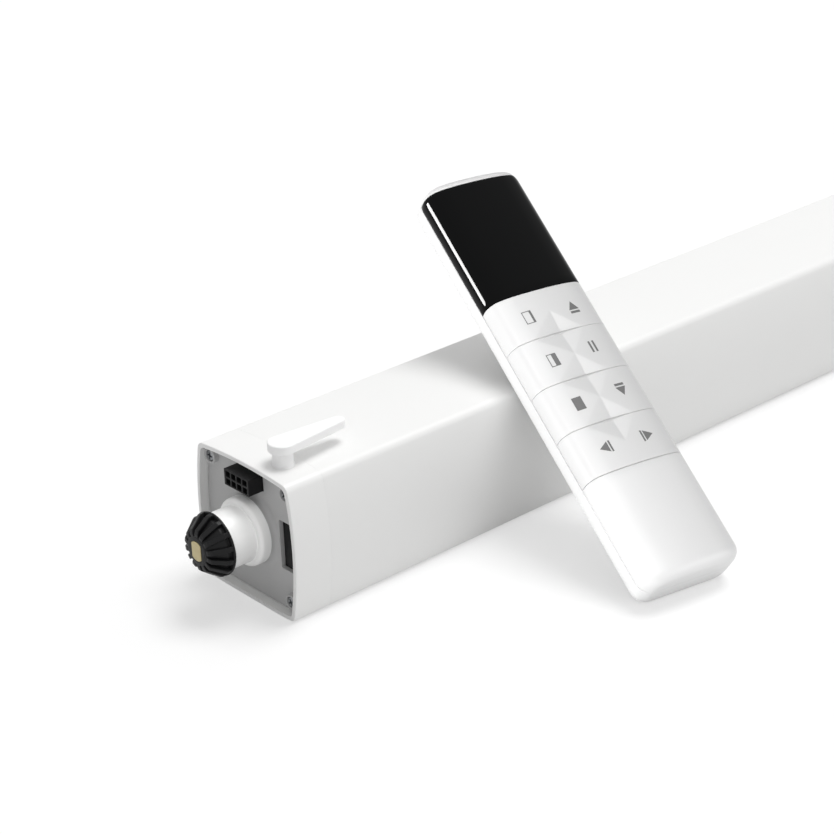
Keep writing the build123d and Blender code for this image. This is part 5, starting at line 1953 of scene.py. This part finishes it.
@dataclass(frozen=True)
class KeyPad(SubAssembly):
    """Four rocker keys with their printed symbols."""

    skirt: float = 0.45
    ease: float = 0.09
    wall: float = 1.8
    column: float = 9.1
    drop: float = 0.3
    film: float = 0.03
    film_root: float = -0.05
    fold: float = 0.7

    def build(self) -> None:
        """Keys from the window down, then their symbols."""
        place, half_gap = REMOTE.placement(), KEY_GAP / 2
        for number in range(1, KEY_ROWS + 1):
            low = KEYS_START + (KEY_ROWS - number) * KEY_PITCH
            row, body = KeyRow(number, low, low + KEY_PITCH), f"key_row_{number}"
            shell, marks = Shell(f"key_{number}_skin"), Shell(f"key_{number}_symbols")
            SkinPatch(low + half_gap, low + KEY_PITCH - half_gap, REMOTE.parting + self.skirt, self.ease,
                      self.wall, step=0.5, fine=120, relief=row.facets).add_to(shell)
            key = shell.finish(Shading.SOFT, SOFT_CREASE, place, weld=True)
            hand_over(key, body, KEY_ABS, "key_plastic", body)
            middle = low + KEY_PITCH / 2 - self.drop
            for side, symbol in zip((-1, 1), KEY_SYMBOLS[number]):
                for outlines in symbol.outlines():
                    at_key = [[(x + side * self.column, y + middle) for x, y in loop] for loop in outlines]
                    self.print_on(marks, at_key, row)
            hand_over(marks.finish(Shading.SOFT, crease=60, place=place), body, KEY_INK, "key_plastic")

    def print_on(self, shell: Shell, outlines: list[Loop], row: KeyRow) -> None:
        """Lays a thin film of ink on the crowned key.

        Args:
            shell: The piece that gathers the film.
            outlines: Outer outline and openings of one mark.
            row: The key that carries it.
        """
        sheet, flat = Shell("mark"), bpy.data.meshes.new("mark")
        sheet.prism(outlines, self.film_root, self.film, 0.0)
        flat.from_pydata(sheet.points, [], sheet.faces)
        work = bmesh.new()
        work.from_mesh(flat)
        bpy.data.meshes.remove(flat)
        places = [v.co.x for v in work.verts]
        for cut in range(1, int((max(places) - min(places)) / self.fold) + 1):
            bmesh.ops.bisect_plane(work, geom=work.verts[:] + work.edges[:] + work.faces[:],
                                   plane_co=(min(places) + cut * self.fold, 0, 0), plane_no=(1, 0, 0))
        work.verts.index_update()
        first = len(shell.points)
        for v in work.verts:
            level = REMOTE.level(v.co.x) + row.facets(v.co.x, v.co.y)
            shell.points.append(Vector((v.co.x, v.co.y, v.co.z + level)))
        shell.faces += [tuple(first + v.index for v in face.verts) for face in work.faces]
        work.free()


class Symbol(Enum):
    """Generic control symbols, all drawn to one size of sheet, bar and arrow."""

    SHEET_NARROW = "sheet with a thin dark edge"
    SHEET_HALF = "sheet with a dark half"
    STOP = "filled block"
    RAISE = "triangle up over a bar"
    HOLD = "two bars"
    LOWER = "bar over a triangle down"
    LEFT = "triangle left and a bar"
    RIGHT = "bar and a triangle right"

    def outlines(self) -> list[list[Loop]]:
        """Outlines of the symbol round its own middle, each with its openings.

        Returns:
            One list for each mark.
        """
        w, h = sheet = (3.7, 5.1)
        line, edge = 0.3, 0.85
        if self is Symbol.STOP:
            return [[rectangle(*sheet)]]
        if self is Symbol.HOLD:
            return [[rectangle(0.78, 4.6, at=(x, 0.9))] for x in (-2.0, -0.35)]
        if self in (Symbol.SHEET_NARROW, Symbol.SHEET_HALF):
            narrow = self is Symbol.SHEET_NARROW
            dark = rectangle(edge, h, at=(w / 2 - 0.42, 0)) if narrow else rectangle(w / 2, h, at=(w / 4, 0))
            return [[rectangle(*sheet), hole(rectangle(w - 2 * line, h - 2 * line))], [dark]]
        # Arrow and bar are drawn pointing right: the bar of raise and lower is short and stout
        arrow = [(-1.65, -2.05), (1.85, 0.0), (-1.65, 2.05)]
        upright = self in (Symbol.RAISE, Symbol.LOWER)
        bar = rectangle(0.95, 3.8, at=(-2.65, 0)) if upright else rectangle(0.68, 4.4, at=(-2.45, 0))
        turns = {Symbol.RIGHT: 0, Symbol.RAISE: 90, Symbol.LEFT: 180, Symbol.LOWER: -90}
        return [[spun(loop, radians(turns[self]))] for loop in (arrow, bar)]


KEY_SYMBOLS = {
    1: (Symbol.SHEET_NARROW, Symbol.RAISE), 2: (Symbol.SHEET_HALF, Symbol.HOLD),
    3: (Symbol.STOP, Symbol.LOWER), 4: (Symbol.LEFT, Symbol.RIGHT),
}


@dataclass(frozen=True)
class InnerWorks(SubAssembly):
    """The CAD nodes whose own shapes are shown."""

    def build(self) -> None:
        """Gives every such node the finish of its material slot."""
        slots = {s["node"]: s["material_slot"] for s in frame["record"]["subparts"]}
        for name, node in frame["nodes"].items():
            finish = NODE_FINISHES.get(name, SLOT_FINISHES[slots[name]])
            if not node.data.materials:
                node.data.materials.append(finish.make())
            for index in range(len(node.data.materials)):
                node.data.materials[index] = finish.make()
            log.info("%s keeps its own shape, %s", name, finish.name)


@dataclass(frozen=True)
class Panel:
    """One far panel of light, as even over the whole object as a large softbox.

    Attributes:
        name: Its name.
        toward: Direction in which it stands.
        strength: Light that falls on a surface facing it.
        spread: Width that it has in the sky, in degrees.
        pieces: Beginnings of the names of the pieces that it is kept to.
        keeps_off: Whether it is kept off those pieces instead.
        sheen_only: Whether it shows only as a highlight.
    """

    name: str
    toward: tuple[float, float, float]
    strength: float
    spread: float
    pieces: tuple[str, ...]
    keeps_off: bool = False
    sheen_only: bool = False

    def hang(self) -> None:
        """Hangs the panel and keeps it to its pieces, or off them, as a flag on its stand would."""
        data = bpy.data.lights.new(self.name, "SUN")
        data.energy, data.angle = self.strength, radians(self.spread)
        lamp = place_in_scene(self.name, data)
        lamp.rotation_euler = Vector(self.toward).to_track_quat("Z", "Y").to_euler()
        lamp.visible_diffuse = not self.sheen_only
        group = bpy.data.collections.new(self.name + "_reach")
        for piece in [o for o in bpy.data.objects if o.name.startswith(self.pieces)]:
            group.objects.link(piece)
        for entry in group.collection_objects:
            entry.light_linking.link_state = "EXCLUDE" if self.keeps_off else "INCLUDE"
        lamp.light_linking.receiver_collection = group


CASE_PIECES = ("grip_", "key_", "back_shell", "battery_door_leaf")
PANELS = (
    # The unit's own light comes from above, the remote's from its left with a fill from the front
    Panel("overhead_panel", (0.33, -0.07, 0.94), 1.68, 30, (*CASE_PIECES, "lens_"), keeps_off=True),
    Panel("side_panel", (-0.96, -0.026, 0.279), 2.9, 28, CASE_PIECES),
    Panel("front_fill", (0.38, -0.92, 0.1), 1.2, 40, CASE_PIECES),
    # The boss is brighter than the plate behind it
    Panel("boss_fill", (-0.4, -0.45, 0.8), 0.65, 60, ("bearing_boss_m",)),
    # A band of shine down the keys, and the thin white line along the black window
    Panel("side_sheen", (-0.104, -0.309, 0.945), 2.7, 58.6, CASE_PIECES, sheen_only=True),
    Panel("edge_strip", (-0.799, 0.578, 0.163), 13.0, 21, ("lens_",), sheen_only=True),
)


@dataclass(frozen=True)
class Studio:
    """Pale floor, soft lamps and the camera of the photograph.

    Attributes:
        bearing: Direction in which the camera looks, from X towards Y, in degrees.
        fall: How far it looks down, in degrees.
        roll: How far it is tipped over, in degrees.
        place: Where it stands, in metres.
        lens: Its focal length in millimetres on a sensor 36 mm wide.
        floor_size: Side of the floor, in metres.
        floor_shade: Colour that the floor has for light that bounces.
        floor_glow: Share of plain white in what is seen of it.
        sky_lean: How the sky's light grows along X and Y.
        sky: Its strength straight above.
    """

    bearing: float = 49.338
    fall: float = 25.693
    roll: float = 2.0
    place: tuple[float, float, float] = (-0.37463, -0.52561, 0.34893)
    lens: float = 94.83
    floor_size: float = 12.0
    floor_shade: str = "#E4E4E4"
    floor_glow: float = 0.5
    sky_lean: tuple[float, float, float] = (0.19, -0.08, 0.0)
    sky: float = 0.54

    def build(self) -> None:
        """Camera, floor, world and lamps."""
        self.camera()
        self.floor()
        self.world()
        for panel in PANELS:
            panel.hang()
        bpy.context.scene.view_settings.view_transform = "Standard"

    def camera(self) -> None:
        """The camera, turned to the photograph's direction."""
        az, el, roll = radians(self.bearing), radians(self.fall), radians(self.roll)
        ahead = Vector((cos(az) * cos(el), sin(az) * cos(el), -sin(el)))
        right = ahead.cross(Vector((0, 0, 1))).normalized()
        down = ahead.cross(right)
        right, down = right * cos(roll) + down * sin(roll), down * cos(roll) - right * sin(roll)
        data = bpy.data.cameras.new("photo_camera")
        data.lens, data.sensor_width, data.clip_start, data.clip_end = self.lens, 36.0, 0.01, 50.0
        camera = place_in_scene("photo_camera", data)
        facing = Matrix((right, -down, -ahead)).transposed().to_4x4()
        camera.matrix_world = Matrix.Translation(self.place) @ facing
        bpy.context.scene.camera = camera

    def floor(self) -> None:
        """A wide pale floor that keeps the object's shadow."""
        half, level = self.floor_size / 2, SECTION.floor * MM
        mesh = bpy.data.meshes.new("floor")
        corners = [(-half, -half, level), (half, -half, level), (half, half, level), (-half, half, level)]
        mesh.from_pydata(corners, [], [(0, 1, 2, 3)])
        floor = place_in_scene("floor", mesh)
        material = bpy.data.materials.new("studio_floor_paper")
        material.use_nodes = True
        tree = material.node_tree
        shader = tree.nodes["Principled BSDF"]
        shader.inputs["Roughness"].default_value = 0.9
        shader.inputs["Specular IOR Level"].default_value = 0.1
        seen = open_rays(tree)
        Finish.colours(tree, shader, seen, self.floor_shade, "#FFFFFF")
        glow = add(tree, "ShaderNodeEmission", {"Color": linear("#FFFFFF"), "Strength": 1.0})
        share = add(tree, "ShaderNodeMath", {"operation": "MULTIPLY", 1: self.floor_glow}, _0=seen)
        both = add(tree, "ShaderNodeMixShader", _0=share.outputs[0], _1=shader.outputs[0], _2=glow.outputs[0])
        tree.links.new(both.outputs[0], tree.nodes["Material Output"].inputs["Surface"])
        floor.data.materials.append(material)

    def world(self) -> None:
        """White all round for the eye and for reflections, and a softer white for light."""
        world = bpy.data.worlds.new("studio_white")
        bpy.context.scene.world = world
        world.use_nodes = True
        tree = world.node_tree
        where = add(tree, "ShaderNodeTexCoord").outputs["Generated"]
        toward = add(tree, "ShaderNodeVectorMath", {"operation": "DOT_PRODUCT", 1: self.sky_lean}, _0=where)
        soft = add(tree, "ShaderNodeMath", {"operation": "ADD", 1: self.sky}, _0=toward.outputs["Value"])
        seen = open_rays(tree)
        strength = add(tree, "ShaderNodeMapRange", {"To Max": 1.0}, Value=seen, To_Min=soft.outputs[0])
        background = tree.nodes["Background"]
        background.inputs["Color"].default_value = (1, 1, 1, 1)
        tree.links.new(strength.outputs[0], background.inputs["Strength"])


def main() -> None:
    """Builds the sub-assemblies in order."""
    logging.basicConfig(level=logging.INFO, format="%(name)s: %(message)s")
    for group in (InnerWorks, DriveTube, DriveEnd, BearingBoss, ConeDrive, PlugSocket, LockLever, FarEnd,
                  RemoteCase, KeyPad):
        group().build()
    Studio().build()


if __name__ == "__main__":
    main()
